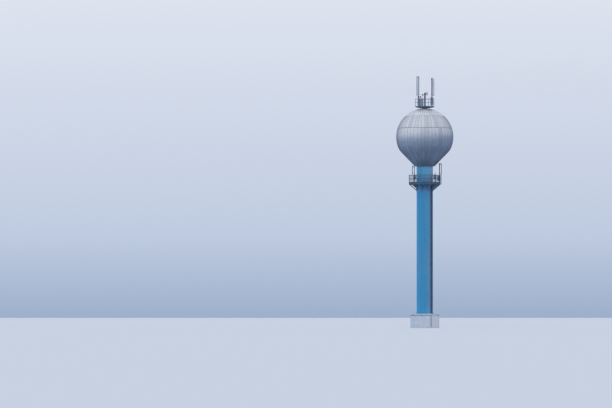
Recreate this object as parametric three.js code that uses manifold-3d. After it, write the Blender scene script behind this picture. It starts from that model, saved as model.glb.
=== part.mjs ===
// Steel water tower: a ball tank on a tube shaft, with a balcony, a roof platform and aerials.
// Millimetres, +Z up. The origin is on the ground, on the tower's axis. The front faces -Y.
import * as THREE from "three";
import { mergeVertices } from "three/addons/utils/BufferGeometryUtils.js";
import Module from "manifold-3d";

const wasm = await Module();
wasm.setup();

// Driving dimensions
const SEAT_GAP = 0.3;
const ROUND_SIDES = 48;
const NARROW_SIDES = 24;
const PIPE_SIDES = 12;

const CHAMBER_TURN = THREE.MathUtils.degToRad(-21.4);
const CHAMBER_SIDE = 3050;
const CHAMBER_WALL = 500;
const CHAMBER_FLOOR_TOP = 150;
const CHAMBER_WALL_TOP = 1750;
const CHAMBER_TOP = 1950;
const ROOF_SLAB_SIDE = 3150;
const ROOF_HOLE_RADIUS = 900;
const DOORWAY_WIDTH = 800;
const DOORWAY_TOP = 1650;
const DOOR_LEAF = 45;
const DOOR_SETBACK = 60;

const SHAFT_RADIUS = 1120;
const SHAFT_WALL = 12;
const SHAFT_JOINTS = [7900, 13850];
const FLANGE_INNER_RADIUS = 1000;
const FLANGE_OUTER_RADIUS = 1260;
const FLANGE_THICKNESS = 30;

const BALCONY_APOTHEM = 2170;
const BALCONY_TOP = 19800;
const DECK_THICKNESS = 40;
const BALCONY_RAIL_HEIGHT = 1150;
const BRACKET_FOOT = 18700;
const BRACKET_REACH = 2300;
const BRACKET_THICKNESS = 60;
const BALCONY_DOOR_WIDTH = 650;
const BALCONY_DOOR_BOTTOM = 19950;
const BALCONY_DOOR_TOP = 21750;

const TANK_RADIUS = 3920;
const TANK_CENTRE = 26160;
const TANK_SKIN = 110;
const TANK_FOOT = 22150;
const TANK_FOOT_RADIUS = 1370;
const COLLAR_INNER_RADIUS = 1000;
const COLLAR_THICKNESS = 30;
const CONE_ANGLE = THREE.MathUtils.degToRad(44);
const KNUCKLE_START = THREE.MathUtils.degToRad(20);
const KNUCKLE_RADIUS = 2200;
const BELT_TOP = 27340;
const SHOULDER_TOP = 29020;
const HATCH_RADIUS = 360;

const PLATFORM_APOTHEM = 1300;
const PLATFORM_TOP = 30340;
const PLATFORM_RAIL_HEIGHT = 1050;
const RAIL_INSET = 40;

const LADDER_AZIMUTH = THREE.MathUtils.degToRad(50);
const LADDER_WIDTH = 320;
const LADDER_STANDOFF = 55;
const LADDER_TOP = BALCONY_TOP - DECK_THICKNESS - SEAT_GAP;

// Colours, roughness and metalness
const looks = {
  concrete: { color: 0xb8bcc2, roughness: 0.9, metalness: 0 },
  blue_paint: { color: 0x3f86b4, roughness: 0.5, metalness: 0 },
  dark_steel: { color: 0x4a545e, roughness: 0.6, metalness: 0.2 },
  galvanised: { color: 0x8c949c, roughness: 0.5, metalness: 0.7 },
  cladding: { color: 0xb4bac4, roughness: 0.4, metalness: 0.9 },
  cable: { color: 0x1c2026, roughness: 0.6, metalness: 0 },
  radome: { color: 0xc4ccd4, roughness: 0.5, metalness: 0 },
  lamp: { color: 0x7c1c22, roughness: 0.3, metalness: 0 },
};

const tower = new THREE.Group();

function addPiece(name, geometry, look, parent = tower) {
  const piece = new THREE.Mesh(geometry, new THREE.MeshStandardMaterial(looks[look]));
  piece.name = name;
  parent.add(piece);
  return piece;
}

// Solids for joining and cutting
function toSolid(geometry) {
  const bare = geometry.clone();
  bare.deleteAttribute("normal");
  bare.deleteAttribute("uv");
  const merged = mergeVertices(bare, 0.001);
  const corners = merged.index.array;
  const kept = [];
  for (let i = 0; i < corners.length; i += 3) {
    const [a, b, c] = corners.slice(i, i + 3);
    if (a !== b && b !== c && c !== a) kept.push(a, b, c);
  }
  const vertProperties = new Float32Array(merged.attributes.position.array);
  const triVerts = new Uint32Array(kept);
  return new wasm.Manifold(new wasm.Mesh({ numProp: 3, vertProperties, triVerts }));
}

function toGeometry(solid) {
  const mesh = solid.getMesh();
  const geometry = new THREE.BufferGeometry();
  geometry.setAttribute("position", new THREE.BufferAttribute(mesh.vertProperties, 3));
  geometry.setIndex(new THREE.BufferAttribute(mesh.triVerts, 1));
  geometry.computeVertexNormals();
  return geometry;
}

function join(geometries) {
  return toGeometry(geometries.map(toSolid).reduce((whole, next) => whole.add(next)));
}

function cut(body, tools) {
  return toGeometry(tools.map(toSolid).reduce((whole, tool) => whole.subtract(tool), toSolid(body)));
}

function common(first, second) {
  return toGeometry(toSolid(first).intersect(toSolid(second)));
}

// Basic shapes. A box and a rod stand with their underside at z.
function box(width, depth, height, x = 0, y = 0, z = 0) {
  return new THREE.BoxGeometry(width, depth, height).translate(x, y, z + height / 2);
}

function rod(radius, height, x = 0, y = 0, z = 0, sides = PIPE_SIDES) {
  const geometry = new THREE.CylinderGeometry(radius, radius, height, sides);
  return geometry.rotateX(Math.PI / 2).translate(x, y, z + height / 2);
}

// A profile of [radius, z] points, up the outside and down the inside, turned about the axis
function revolve(profile, sides = ROUND_SIDES) {
  const points = [...profile, profile[0]].map(([radius, z]) => new THREE.Vector2(radius, z));
  return new THREE.LatheGeometry(points, sides).rotateX(Math.PI / 2);
}

function tube(outerRadius, innerRadius, bottom, top, sides = ROUND_SIDES) {
  const section = [[innerRadius, bottom], [outerRadius, bottom], [outerRadius, top], [innerRadius, top]];
  return revolve(section, sides);
}

// A flat outline in the plane of X and Z, given thickness along Y about y = 0
function plateOnEdge(outline, thickness, holes = []) {
  const shape = new THREE.Shape(outline.map(([x, z]) => new THREE.Vector2(x, z)));
  shape.holes = holes.map((hole) => new THREE.Path(hole.map(([x, z]) => new THREE.Vector2(x, z))));
  const geometry = new THREE.ExtrudeGeometry(shape, { depth: thickness, bevelEnabled: false });
  return geometry.rotateX(Math.PI / 2).translate(0, thickness / 2, 0);
}

// An octagon's corners, with flat sides facing +X, -X, +Y and -Y
const EIGHTH = Math.PI / 4;

function octagonCorners(apothem) {
  const reach = apothem / Math.cos(EIGHTH / 2);
  return Array.from({ length: 8 }, (_, k) => {
    const angle = (k + 0.5) * EIGHTH;
    return new THREE.Vector2(reach * Math.cos(angle), reach * Math.sin(angle));
  });
}

// An eight-sided plate with a round hole
function octagonPlate(apothem, holeRadius, bottom, thickness, holeSides = ROUND_SIDES) {
  const shape = new THREE.Shape(octagonCorners(apothem));
  const hole = new THREE.Path();
  hole.absarc(0, 0, holeRadius, 0, Math.PI * 2, true);
  shape.holes.push(hole);
  const curveSegments = holeSides / 2;
  return new THREE.ExtrudeGeometry(shape, { depth: thickness, bevelEnabled: false, curveSegments })
    .translate(0, 0, bottom);
}

// The square valve chamber of cast concrete that the tower stands on
function buildChamber() {
  const chamber = new THREE.Group();
  chamber.rotation.z = CHAMBER_TURN;
  tower.add(chamber);
  const wallHeight = CHAMBER_WALL_TOP - CHAMBER_FLOOR_TOP;
  const wallCentre = (CHAMBER_SIDE - CHAMBER_WALL) / 2;
  const sideLength = CHAMBER_SIDE - 2 * (CHAMBER_WALL + SEAT_GAP);
  addPiece("chamber_floor", box(CHAMBER_SIDE, CHAMBER_SIDE, CHAMBER_FLOOR_TOP), "concrete", chamber);
  const front = box(CHAMBER_SIDE, CHAMBER_WALL, wallHeight, 0, -wallCentre, CHAMBER_FLOOR_TOP);
  addPiece("chamber_front_wall", front, "concrete", chamber);
  for (const [side, sign] of [["left", -1], ["right", 1]]) {
    const wall = box(CHAMBER_WALL, sideLength, wallHeight, sign * wallCentre, 0, CHAMBER_FLOOR_TOP);
    addPiece(`chamber_${side}_wall`, wall, "concrete", chamber);
  }
  const half = CHAMBER_SIDE / 2;
  const doorHalf = DOORWAY_WIDTH / 2;
  const backOutline = [
    [-half, CHAMBER_FLOOR_TOP], [-doorHalf, CHAMBER_FLOOR_TOP],
    [-doorHalf, DOORWAY_TOP], [doorHalf, DOORWAY_TOP],
    [doorHalf, CHAMBER_FLOOR_TOP], [half, CHAMBER_FLOOR_TOP],
    [half, CHAMBER_WALL_TOP], [-half, CHAMBER_WALL_TOP],
  ];
  const back = plateOnEdge(backOutline, CHAMBER_WALL).translate(0, wallCentre, 0);
  addPiece("chamber_back_wall", back, "concrete", chamber);
  const leafHeight = DOORWAY_TOP - CHAMBER_FLOOR_TOP - 2 * SEAT_GAP;
  const leafY = half - DOOR_SETBACK - DOOR_LEAF / 2;
  const leafBottom = CHAMBER_FLOOR_TOP + SEAT_GAP;
  const leaf = box(DOORWAY_WIDTH - 2 * SEAT_GAP, DOOR_LEAF, leafHeight, 0, leafY, leafBottom);
  addPiece("chamber_door", leaf, "blue_paint", chamber);
  const slabThickness = CHAMBER_TOP - CHAMBER_WALL_TOP;
  const slab = box(ROOF_SLAB_SIDE, ROOF_SLAB_SIDE, slabThickness, 0, 0, CHAMBER_WALL_TOP);
  const holeBottom = CHAMBER_WALL_TOP - slabThickness / 2;
  const hole = rod(ROOF_HOLE_RADIUS, slabThickness * 2, 0, 0, holeBottom, ROUND_SIDES);
  addPiece("chamber_roof_slab", cut(slab, [hole]), "concrete", chamber);
}

// The steel tube shaft, in four welded lengths on a foot flange, with a door to the balcony
function buildShaft() {
  const flangeTop = CHAMBER_TOP + FLANGE_THICKNESS;
  const flange = tube(FLANGE_OUTER_RADIUS, FLANGE_INNER_RADIUS, CHAMBER_TOP, flangeTop);
  addPiece("base_flange", flange, "blue_paint");
  const inner = SHAFT_RADIUS - SHAFT_WALL;
  const [lowerTop, middleTop] = SHAFT_JOINTS;
  addPiece("shaft_lower", tube(SHAFT_RADIUS, inner, flangeTop, lowerTop), "blue_paint");
  addPiece("shaft_middle", tube(SHAFT_RADIUS, inner, lowerTop, middleTop), "blue_paint");
  addPiece("shaft_upper", tube(SHAFT_RADIUS, inner, middleTop, BALCONY_TOP), "blue_paint");
  const neck = tube(SHAFT_RADIUS, inner, BALCONY_TOP, TANK_FOOT);
  const doorHeight = BALCONY_DOOR_TOP - BALCONY_DOOR_BOTTOM;
  const depth = SHAFT_RADIUS / 2;
  const doorway = box(BALCONY_DOOR_WIDTH, depth, doorHeight, 0, SHAFT_RADIUS, BALCONY_DOOR_BOTTOM);
  addPiece("shaft_neck", cut(neck, [doorway]), "blue_paint");
  const leafWidth = BALCONY_DOOR_WIDTH - 2 * SEAT_GAP;
  const leafHeight = doorHeight - 2 * SEAT_GAP;
  const leafBottom = BALCONY_DOOR_BOTTOM + SEAT_GAP;
  const leafBox = box(leafWidth, depth, leafHeight, 0, SHAFT_RADIUS, leafBottom);
  addPiece("balcony_door", common(neck, leafBox), "blue_paint");
}

// A cable ladder up the shaft's right side, with the flat bundle of feeder cables on it
function buildCableLadder() {
  const railDepth = 60;
  const railThickness = 20;
  const rungSize = 25;
  const firstRung = 200;
  const rungSpacing = 600;
  const firstStandoff = 400;
  const standoffSpacing = 3300;
  const standoffHeight = 80;
  const standoffReach = LADDER_STANDOFF + railDepth;
  const cableRadius = 16;
  const cableCount = 7;
  const cablePitch = cableRadius * 1.9;
  const cableSides = 8;
  const ladder = new THREE.Group();
  ladder.rotation.z = LADDER_AZIMUTH - Math.PI / 2;
  tower.add(ladder);
  const bottom = CHAMBER_TOP + FLANGE_THICKNESS + SEAT_GAP;
  const length = LADDER_TOP - bottom;
  const railX = SHAFT_RADIUS + LADDER_STANDOFF + railDepth / 2;
  const solids = [];
  for (const side of [-1, 1]) {
    const y = (side * (LADDER_WIDTH - railThickness)) / 2;
    solids.push(box(railDepth, railThickness, length, railX, y, bottom));
    for (let z = bottom + firstStandoff; z < LADDER_TOP; z += standoffSpacing) {
      const x = SHAFT_RADIUS + LADDER_STANDOFF / 2;
      solids.push(box(standoffReach, railThickness, standoffHeight, x, y, z));
    }
  }
  for (let z = bottom + firstRung; z < LADDER_TOP; z += rungSpacing) {
    solids.push(box(rungSize, LADDER_WIDTH - railThickness, rungSize, railX, 0, z));
  }
  const shaftFace = rod(SHAFT_RADIUS + SEAT_GAP, LADDER_TOP, 0, 0, 0, ROUND_SIDES);
  shaftFace.rotateZ(-ladder.rotation.z);
  addPiece("cable_ladder", cut(join(solids), [shaftFace]), "galvanised", ladder);
  const cableX = railX + rungSize / 2 + SEAT_GAP + cableRadius;
  const cables = [];
  for (let k = 0; k < cableCount; k += 1) {
    const y = (k - (cableCount - 1) / 2) * cablePitch;
    cables.push(rod(cableRadius, length, cableX, y, bottom, cableSides));
  }
  addPiece("feeder_cables", join(cables), "cable", ladder);
}

// One bracket under the balcony: a brace with a gusset that leaves a slanting slot between them
function balconyBracket(beamBottom, beamTop) {
  const weldGap = 5;
  const inner = SHAFT_RADIUS + weldGap;
  const slope = (beamBottom - BRACKET_FOOT) / (BRACKET_REACH - inner);
  const steepness = Math.hypot(1, slope);
  const heightAt = (radius, offset) => BRACKET_FOOT + slope * (radius - inner) + offset * steepness;
  const radiusAt = (z, offset) => inner + (z - BRACKET_FOOT - offset * steepness) / slope;
  const braceWidth = 80;
  const slotWidth = 160;
  const slotFoot = inner + 170;
  const beamLip = 10;
  const slotTop = beamBottom - beamLip;
  const outline = [
    [inner, BRACKET_FOOT], [BRACKET_REACH, beamBottom], [BRACKET_REACH, beamTop], [inner, beamTop],
  ];
  const slot = [
    [slotFoot, heightAt(slotFoot, braceWidth)], [radiusAt(slotTop, braceWidth), slotTop],
    [radiusAt(slotTop, braceWidth + slotWidth), slotTop],
    [slotFoot, heightAt(slotFoot, braceWidth + slotWidth)],
  ];
  return plateOnEdge(outline, BRACKET_THICKNESS, [slot]);
}

// The balcony's steel frame: eight brackets, two bands round the shaft and the edge beam
function buildBalconyFrame() {
  const top = BALCONY_TOP - DECK_THICKNESS;
  const beamDepth = 120;
  const beamBottom = top - beamDepth;
  const edgeDepth = 150;
  const edgeWidth = 60;
  const deckLip = 20;
  const edgeApothem = BALCONY_APOTHEM - deckLip;
  const bandThickness = 25;
  const bandHeight = 110;
  const lowBandRise = 20;
  const deckClearance = 40;
  const band = (z) => tube(SHAFT_RADIUS + bandThickness, SHAFT_RADIUS + SEAT_GAP, z, z + bandHeight);
  const solids = [band(BRACKET_FOOT + lowBandRise), band(top - bandHeight)];
  for (let k = 0; k < 8; k += 1) {
    solids.push(balconyBracket(beamBottom, top).rotateZ((k + 0.5) * EIGHTH));
  }
  const edge = new THREE.Shape(octagonCorners(edgeApothem));
  edge.holes.push(new THREE.Path(octagonCorners(edgeApothem - edgeWidth)));
  const edgeBeam = new THREE.ExtrudeGeometry(edge, { depth: edgeDepth, bevelEnabled: false });
  solids.push(edgeBeam.translate(0, 0, top - edgeDepth));
  addPiece("balcony_frame", join(solids), "dark_steel");
  const deck = octagonPlate(BALCONY_APOTHEM, SHAFT_RADIUS + deckClearance, top, DECK_THICKNESS);
  addPiece("balcony_deck", deck, "dark_steel");
}

// One side of a railing along +X: a post at its start, one in its middle where that has a size, top and
// middle rails, and a toe board
const POST_SIDE = 45;
const STANCHION_SIDE = 80;

function railPanel(length, height, middlePost, toeHeight) {
  const railSide = 40;
  const railDrop = 5;
  const toeGap = 10;
  const toeThickness = 8;
  const middleRail = 0.52;
  const railEnd = length - POST_SIDE * Math.SQRT1_2 - SEAT_GAP;
  const solids = [box(POST_SIDE, POST_SIDE, height, 0, 0, 0)];
  if (middlePost > 0) solids.push(box(middlePost, middlePost, height, length / 2, 0, 0));
  for (const z of [height - railSide - railDrop, height * middleRail]) {
    solids.push(box(railEnd, railSide, railSide, railEnd / 2, 0, z));
  }
  solids.push(box(railEnd, toeThickness, toeHeight, railEnd / 2, 0, toeGap));
  return join(solids);
}

// The corner at which a railing's side k starts, and the direction in which it runs
function placeOnSide(piece, k, apothem, z) {
  const start = octagonCorners(apothem)[k];
  piece.position.set(start.x, start.y, z);
  piece.rotation.z = (k + 3) * EIGHTH;
}

function sideLength(apothem) {
  return 2 * apothem * Math.tan(EIGHTH / 2);
}

function buildBalconyRailing() {
  const apothem = BALCONY_APOTHEM - RAIL_INSET;
  const toeHeight = 150;
  const endSides = [3, 7];
  for (let k = 0; k < 8; k += 1) {
    const middlePost = endSides.includes(k) ? STANCHION_SIDE : POST_SIDE;
    const panel = railPanel(sideLength(apothem), BALCONY_RAIL_HEIGHT, middlePost, toeHeight);
    placeOnSide(addPiece(`balcony_railing_${k + 1}`, panel, "dark_steel"), k, apothem, BALCONY_TOP);
  }
}

// The tank's wall between two profiles, each listed upwards
function shell(name, outside, inside) {
  addPiece(name, revolve([...outside, ...inside.reverse()]), "cladding");
}

// Points on a ball of the given radius between two heights
function ballArc(radius, bottom, top, steps) {
  const first = Math.asin((bottom - TANK_CENTRE) / radius);
  const last = Math.asin((top - TANK_CENTRE) / radius);
  return Array.from({ length: steps + 1 }, (_, k) => {
    const latitude = first + ((last - first) * k) / steps;
    return [radius * Math.cos(latitude), TANK_CENTRE + radius * Math.sin(latitude)];
  });
}

// The ball tank with its cone foot
function buildTank() {
  const innerRadius = TANK_RADIUS - TANK_SKIN;
  const kneeR = (TANK_RADIUS - KNUCKLE_RADIUS) * Math.cos(KNUCKLE_START);
  const kneeZ = TANK_CENTRE - (TANK_RADIUS - KNUCKLE_RADIUS) * Math.sin(KNUCKLE_START);
  const coneTop = kneeZ - KNUCKLE_RADIUS * Math.sin(CONE_ANGLE);
  const bowlTop = kneeZ - KNUCKLE_RADIUS * Math.sin(KNUCKLE_START);
  const skinAcross = TANK_SKIN / Math.cos(CONE_ANGLE);
  const outerCone = (z) => TANK_FOOT_RADIUS + (z - TANK_FOOT) * Math.tan(CONE_ANGLE);
  const innerCone = (z) => outerCone(z) - skinAcross;
  const collarTop = TANK_FOOT + COLLAR_THICKNESS;
  shell(
    "tank_cone",
    [[COLLAR_INNER_RADIUS, TANK_FOOT], [TANK_FOOT_RADIUS, TANK_FOOT], [outerCone(coneTop), coneTop]],
    [[COLLAR_INNER_RADIUS, collarTop], [innerCone(collarTop), collarTop], [innerCone(coneTop), coneTop]],
  );
  const knuckleArc = (radius, lowAngle, highAngle, steps) => (
    Array.from({ length: steps + 1 }, (_, k) => {
      const angle = lowAngle + ((highAngle - lowAngle) * k) / steps;
      return [kneeR + radius * Math.cos(angle), kneeZ - radius * Math.sin(angle)];
    })
  );
  const innerKnuckle = KNUCKLE_RADIUS - TANK_SKIN;
  const innerHighAngle = Math.asin((kneeZ - bowlTop) / innerKnuckle);
  shell(
    "tank_lower_bowl",
    knuckleArc(KNUCKLE_RADIUS, CONE_ANGLE, KNUCKLE_START, 4),
    [[innerCone(coneTop), coneTop], ...knuckleArc(innerKnuckle, CONE_ANGLE, innerHighAngle, 2)],
  );
  const innerBowlTop = [kneeR + innerKnuckle * Math.cos(innerHighAngle), bowlTop];
  const innerBlend = 40;
  shell(
    "tank_belt",
    ballArc(TANK_RADIUS, bowlTop, BELT_TOP, 6),
    [innerBowlTop, ...ballArc(innerRadius, bowlTop + innerBlend, BELT_TOP, 3)],
  );
  shell(
    "tank_shoulder",
    ballArc(TANK_RADIUS, BELT_TOP, SHOULDER_TOP, 5),
    ballArc(innerRadius, BELT_TOP, SHOULDER_TOP, 2),
  );
  shell(
    "tank_crown",
    ballArc(TANK_RADIUS, SHOULDER_TOP, crownHoleHeight(TANK_RADIUS), 6),
    ballArc(innerRadius, SHOULDER_TOP, crownHoleHeight(innerRadius), 3),
  );
}

// The height at which a ball of the given radius meets the hatch neck's hole
function crownHoleHeight(radius) {
  return TANK_CENTRE + Math.sqrt(radius ** 2 - (HATCH_RADIUS + SEAT_GAP) ** 2);
}

// The hatch: a neck that stands through the crown up to the deck, with a lid on it
function buildHatch() {
  const neckWall = 10;
  const neckDip = 60;
  const lidLip = 40;
  const lidEdge = 50;
  const lidSlopeTop = 95;
  const lidTop = 110;
  const lidFlat = 0.6;
  const neckBottom = crownHoleHeight(TANK_RADIUS - TANK_SKIN) - neckDip;
  const neckTop = PLATFORM_TOP - DECK_THICKNESS;
  const neck = tube(HATCH_RADIUS, HATCH_RADIUS - neckWall, neckBottom, neckTop, NARROW_SIDES);
  addPiece("hatch_neck", neck, "galvanised");
  const lidRadius = HATCH_RADIUS + lidLip;
  const lid = revolve([
    [0, PLATFORM_TOP], [lidRadius, PLATFORM_TOP], [lidRadius, PLATFORM_TOP + lidEdge],
    [lidRadius * lidFlat, PLATFORM_TOP + lidSlopeTop], [0, PLATFORM_TOP + lidTop],
  ], NARROW_SIDES);
  addPiece("hatch_cover", lid, "galvanised");
}

// The roof platform: cantilever brackets on a ring round the hatch neck, deck and railing
function buildPlatform() {
  const top = PLATFORM_TOP - DECK_THICKNESS;
  const ringThickness = 40;
  const ringHeight = 210;
  const bracketReach = PLATFORM_APOTHEM + 40;
  const bracketRoot = HATCH_RADIUS + ringThickness / 2;
  const haunchReach = 650;
  const bracketRise = 10;
  const bracketTip = 45;
  const bracketThickness = 50;
  const ringBottom = top - ringHeight;
  const bracketBottom = ringBottom + bracketRise;
  const outline = [
    [bracketRoot, bracketBottom], [haunchReach, bracketBottom], [bracketReach, top - bracketTip],
    [bracketReach, top], [bracketRoot, top],
  ];
  const ring = tube(HATCH_RADIUS + ringThickness, HATCH_RADIUS + SEAT_GAP, ringBottom, top, NARROW_SIDES);
  const solids = [ring];
  for (let k = 0; k < 8; k += 1) {
    solids.push(plateOnEdge(outline, bracketThickness).rotateZ((k + 0.5) * EIGHTH));
  }
  addPiece("platform_frame", join(solids), "dark_steel");
  const deck = octagonPlate(PLATFORM_APOTHEM, HATCH_RADIUS, top, DECK_THICKNESS, NARROW_SIDES);
  addPiece("platform_deck", deck, "dark_steel");
  const apothem = PLATFORM_APOTHEM - RAIL_INSET;
  const panelLength = sideLength(apothem) + POST_SIDE;
  const toeHeight = 40;
  const sides = [];
  for (let k = 0; k < 8; k += 1) {
    const holder = new THREE.Object3D();
    placeOnSide(holder, k, apothem, PLATFORM_TOP);
    holder.updateMatrix();
    sides.push(railPanel(panelLength, PLATFORM_RAIL_HEIGHT, 0, toeHeight).applyMatrix4(holder.matrix));
  }
  addPiece("platform_railing", join(sides), "dark_steel");
}

// A sector aerial: its upright pipe on a foot plate, and the flat panel clamped to it
const FOOT_PLATE = 15;
const FOOT_LIP = 25;

function holderAt({ x, y, facing }) {
  const holder = new THREE.Group();
  holder.position.set(x, y, 0);
  holder.rotation.z = THREE.MathUtils.degToRad(facing);
  tower.add(holder);
  return holder;
}

function buildAerial(name, spec) {
  const { clampReach } = spec;
  const clampOverlap = 20;
  const clampWidth = 80;
  const clampHeight = 60;
  const clampFromBottom = 150;
  const clampFromTop = 200;
  const footSide = 2 * (spec.pipeRadius + FOOT_LIP);
  const chamfer = 25;
  const holder = holderAt(spec);
  const pipe = join([
    rod(spec.pipeRadius, spec.pipeTop - spec.pipeBottom, 0, 0, spec.pipeBottom),
    box(footSide, footSide, FOOT_PLATE, 0, 0, spec.pipeBottom),
  ]);
  addPiece(`${name}_pipe`, pipe, "galvanised", holder);
  const height = spec.panelTop - spec.panelBottom;
  const panelX = spec.pipeRadius + clampReach + spec.panelDepth / 2;
  const halfWidth = spec.panelWidth / 2;
  const halfDepth = spec.panelDepth / 2;
  const section = new THREE.Shape([
    [-halfDepth, -halfWidth], [halfDepth - chamfer, -halfWidth], [halfDepth, -halfWidth + chamfer],
    [halfDepth, halfWidth - chamfer], [halfDepth - chamfer, halfWidth], [-halfDepth, halfWidth],
  ].map(([x, y]) => new THREE.Vector2(x, y)));
  const panel = new THREE.ExtrudeGeometry(section, { depth: height, bevelEnabled: false });
  const solids = [panel.translate(panelX, 0, spec.panelBottom)];
  const clampX = spec.pipeRadius + clampReach / 2;
  for (const z of [spec.panelBottom + clampFromBottom, spec.panelTop - clampFromTop]) {
    solids.push(box(clampReach + 2 * clampOverlap, clampWidth, clampHeight, clampX, 0, z));
  }
  const pipeFace = rod(spec.pipeRadius + SEAT_GAP, spec.pipeTop, 0, 0, 0);
  addPiece(`${name}_panel`, cut(join(solids), [pipeFace]), "radome", holder);
}

// The aerials' places: pipe x and y, the way the panel faces in degrees from +X, and the heights
const PLATFORM_AERIAL = {
  pipeBottom: PLATFORM_TOP, pipeRadius: 57, panelWidth: 260, panelDepth: 120, clampReach: 110,
};
const BALCONY_AERIAL = {
  pipeBottom: BALCONY_TOP, pipeRadius: 45, panelWidth: 260, panelDepth: 100, clampReach: 180,
};
const AERIALS = {
  platform_left_aerial: {
    ...PLATFORM_AERIAL, x: -815, y: -750, facing: 210, pipeTop: 34430, panelBottom: 31800, panelTop: 34480,
    clampReach: 150,
  },
  platform_right_aerial: {
    ...PLATFORM_AERIAL, x: 986, y: -520, facing: -25, pipeTop: 34250, panelBottom: 31800, panelTop: 34150,
    pipeRadius: 70, panelWidth: 300, panelDepth: 160, clampReach: 90,
  },
  balcony_left_aerial: {
    ...BALCONY_AERIAL, x: -1410, y: -1395, facing: 180, pipeTop: 22200, panelBottom: 20980, panelTop: 22150,
  },
  balcony_right_aerial: {
    ...BALCONY_AERIAL, x: 2025, y: -350, facing: 0, pipeTop: 22560, panelBottom: 20980, panelTop: 22520,
    pipeRadius: 57, clampReach: 143,
  },
};

function buildAerials() {
  for (const [name, spec] of Object.entries(AERIALS)) buildAerial(name, spec);
}

// Radio units hung on the aerial pipes and on a stand of their own, the platform's cabinet and the
// cable box. Each size is width, depth and height.
function buildEquipment() {
  const unit = (name, [width, depth, height], x, y, bottom, look) => {
    addPiece(name, box(width, depth, height, x, y, bottom), look);
  };
  const high = AERIALS.platform_right_aerial;
  const highReach = high.pipeRadius + SEAT_GAP;
  const frontRadio = [230, 130, 1100];
  const sideRadio = [140, 180, 1100];
  const highRadioBottom = 30480;
  const frontRadioShift = -86;
  const sideRadioShift = 80;
  unit("platform_radio_left", frontRadio, high.x + frontRadioShift, high.y - highReach - frontRadio[1] / 2,
    highRadioBottom, "dark_steel");
  unit("platform_radio_right", sideRadio, high.x + highReach + sideRadio[0] / 2, high.y + sideRadioShift,
    highRadioBottom, "radome");
  const low = AERIALS.balcony_right_aerial;
  const lowReach = low.pipeRadius + SEAT_GAP;
  const wideRadio = [280, 170, 700];
  const slimRadio = [150, 240, 850];
  const wideRadioShift = 45;
  unit("balcony_radio_left", wideRadio, low.x - lowReach - wideRadio[0] / 2, low.y - wideRadioShift,
    20150, "dark_steel");
  unit("balcony_radio_back", slimRadio, low.x, low.y + lowReach + slimRadio[1] / 2, 20050, "dark_steel");
  const left = AERIALS.balcony_left_aerial;
  const broadRadio = [170, 460, 620];
  const broadRadioBottom = 20330;
  const broadRadioShift = 80;
  const cornerFacing = 225;
  const pipeFlat = left.pipeRadius * Math.cos(Math.PI / PIPE_SIDES);
  const leftReach = pipeFlat + SEAT_GAP + broadRadio[0] / 2;
  const leftUnit = box(...broadRadio, -leftReach, -broadRadioShift, broadRadioBottom);
  addPiece("balcony_radio_front", leftUnit, "radome", holderAt({ ...left, facing: cornerFacing }));
  const stand = { x: -left.x, y: left.y, facing: -45, radius: 45, top: 21200, footSide: 140, overlap: 15 };
  const standReach = stand.radius + broadRadio[0] / 2 - stand.overlap;
  addPiece("balcony_radio_stand", join([
    rod(stand.radius, stand.top - BALCONY_TOP, 0, 0, BALCONY_TOP),
    box(stand.footSide, stand.footSide, FOOT_PLATE, 0, 0, BALCONY_TOP),
    box(...broadRadio, -standReach, broadRadioShift, broadRadioBottom),
  ]), "radome", holderAt(stand));
  unit("platform_cabinet", [840, 230, 1080], -580, -505, PLATFORM_TOP, "galvanised");
  const cableBox = [340, 760, 680];
  const cableBoxBottom = BALCONY_TOP - DECK_THICKNESS - SEAT_GAP - cableBox[2];
  unit("cable_box", cableBox, 1330, 0, cableBoxBottom, "dark_steel");
}

// The middle mast of the platform with its small drum aerial, facing +X
function buildMast() {
  const mastX = 30;
  const mastY = -700;
  const mastRadius = 100;
  const mastTop = 32200;
  const footSide = 240;
  const drumRadius = 260;
  const drumDepth = 300;
  const drumFaceRadius = 190;
  const drumRim = 260;
  const drumDrop = 60;
  const mast = join([
    rod(mastRadius, mastTop - PLATFORM_TOP, mastX, mastY, PLATFORM_TOP),
    box(footSide, footSide, FOOT_PLATE, mastX, mastY, PLATFORM_TOP),
  ]);
  addPiece("platform_mast", mast, "dark_steel");
  const drum = revolve([
    [0, 0], [drumRadius, 0], [drumRadius, drumRim], [drumFaceRadius, drumDepth], [0, drumDepth],
  ], NARROW_SIDES);
  const piece = addPiece("drum_aerial", drum, "radome");
  piece.rotation.y = Math.PI / 2;
  piece.position.set(mastX + mastRadius + SEAT_GAP, mastY, mastTop - drumDrop);
}

// Red warning lamps on stands: each lamp is a round base with a domed lens
function lampBody(x, y, z) {
  const lampSides = 16;
  const profile = [[0, 0], [85, 0], [85, 45], [110, 45], [110, 150], [75, 205], [0, 225]];
  return revolve(profile, lampSides).translate(x, y, z);
}

// A lamp's stand, from the deck up to the given height
function lampStand(x, y, top) {
  const standRadius = 20;
  const footSide = 80;
  const footThickness = 12;
  return [
    box(footSide, footSide, footThickness, x, y, PLATFORM_TOP),
    rod(standRadius, top - PLATFORM_TOP, x, y, PLATFORM_TOP),
  ];
}

function buildLamps() {
  const twinX = -720;
  const twinY = -950;
  const twinHalf = 150;
  const armTop = 31515;
  const armHeight = 30;
  const armWidth = 50;
  const armOverhang = 40;
  const lampSink = 5;
  const armLength = 2 * (twinHalf + armOverhang);
  addPiece("twin_warning_lamp", join([
    ...lampStand(twinX, twinY, armTop - armHeight / 2),
    box(armLength, armWidth, armHeight, twinX, twinY, armTop - armHeight),
    lampBody(twinX - twinHalf, twinY, armTop - lampSink),
    lampBody(twinX + twinHalf, twinY, armTop - lampSink),
  ]), "lamp");
  const singleX = -270;
  const singleY = -1080;
  const standTop = 31800;
  addPiece("single_warning_lamp", join([
    ...lampStand(singleX, singleY, standTop),
    lampBody(singleX, singleY, standTop - lampSink),
  ]), "lamp");
}

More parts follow.
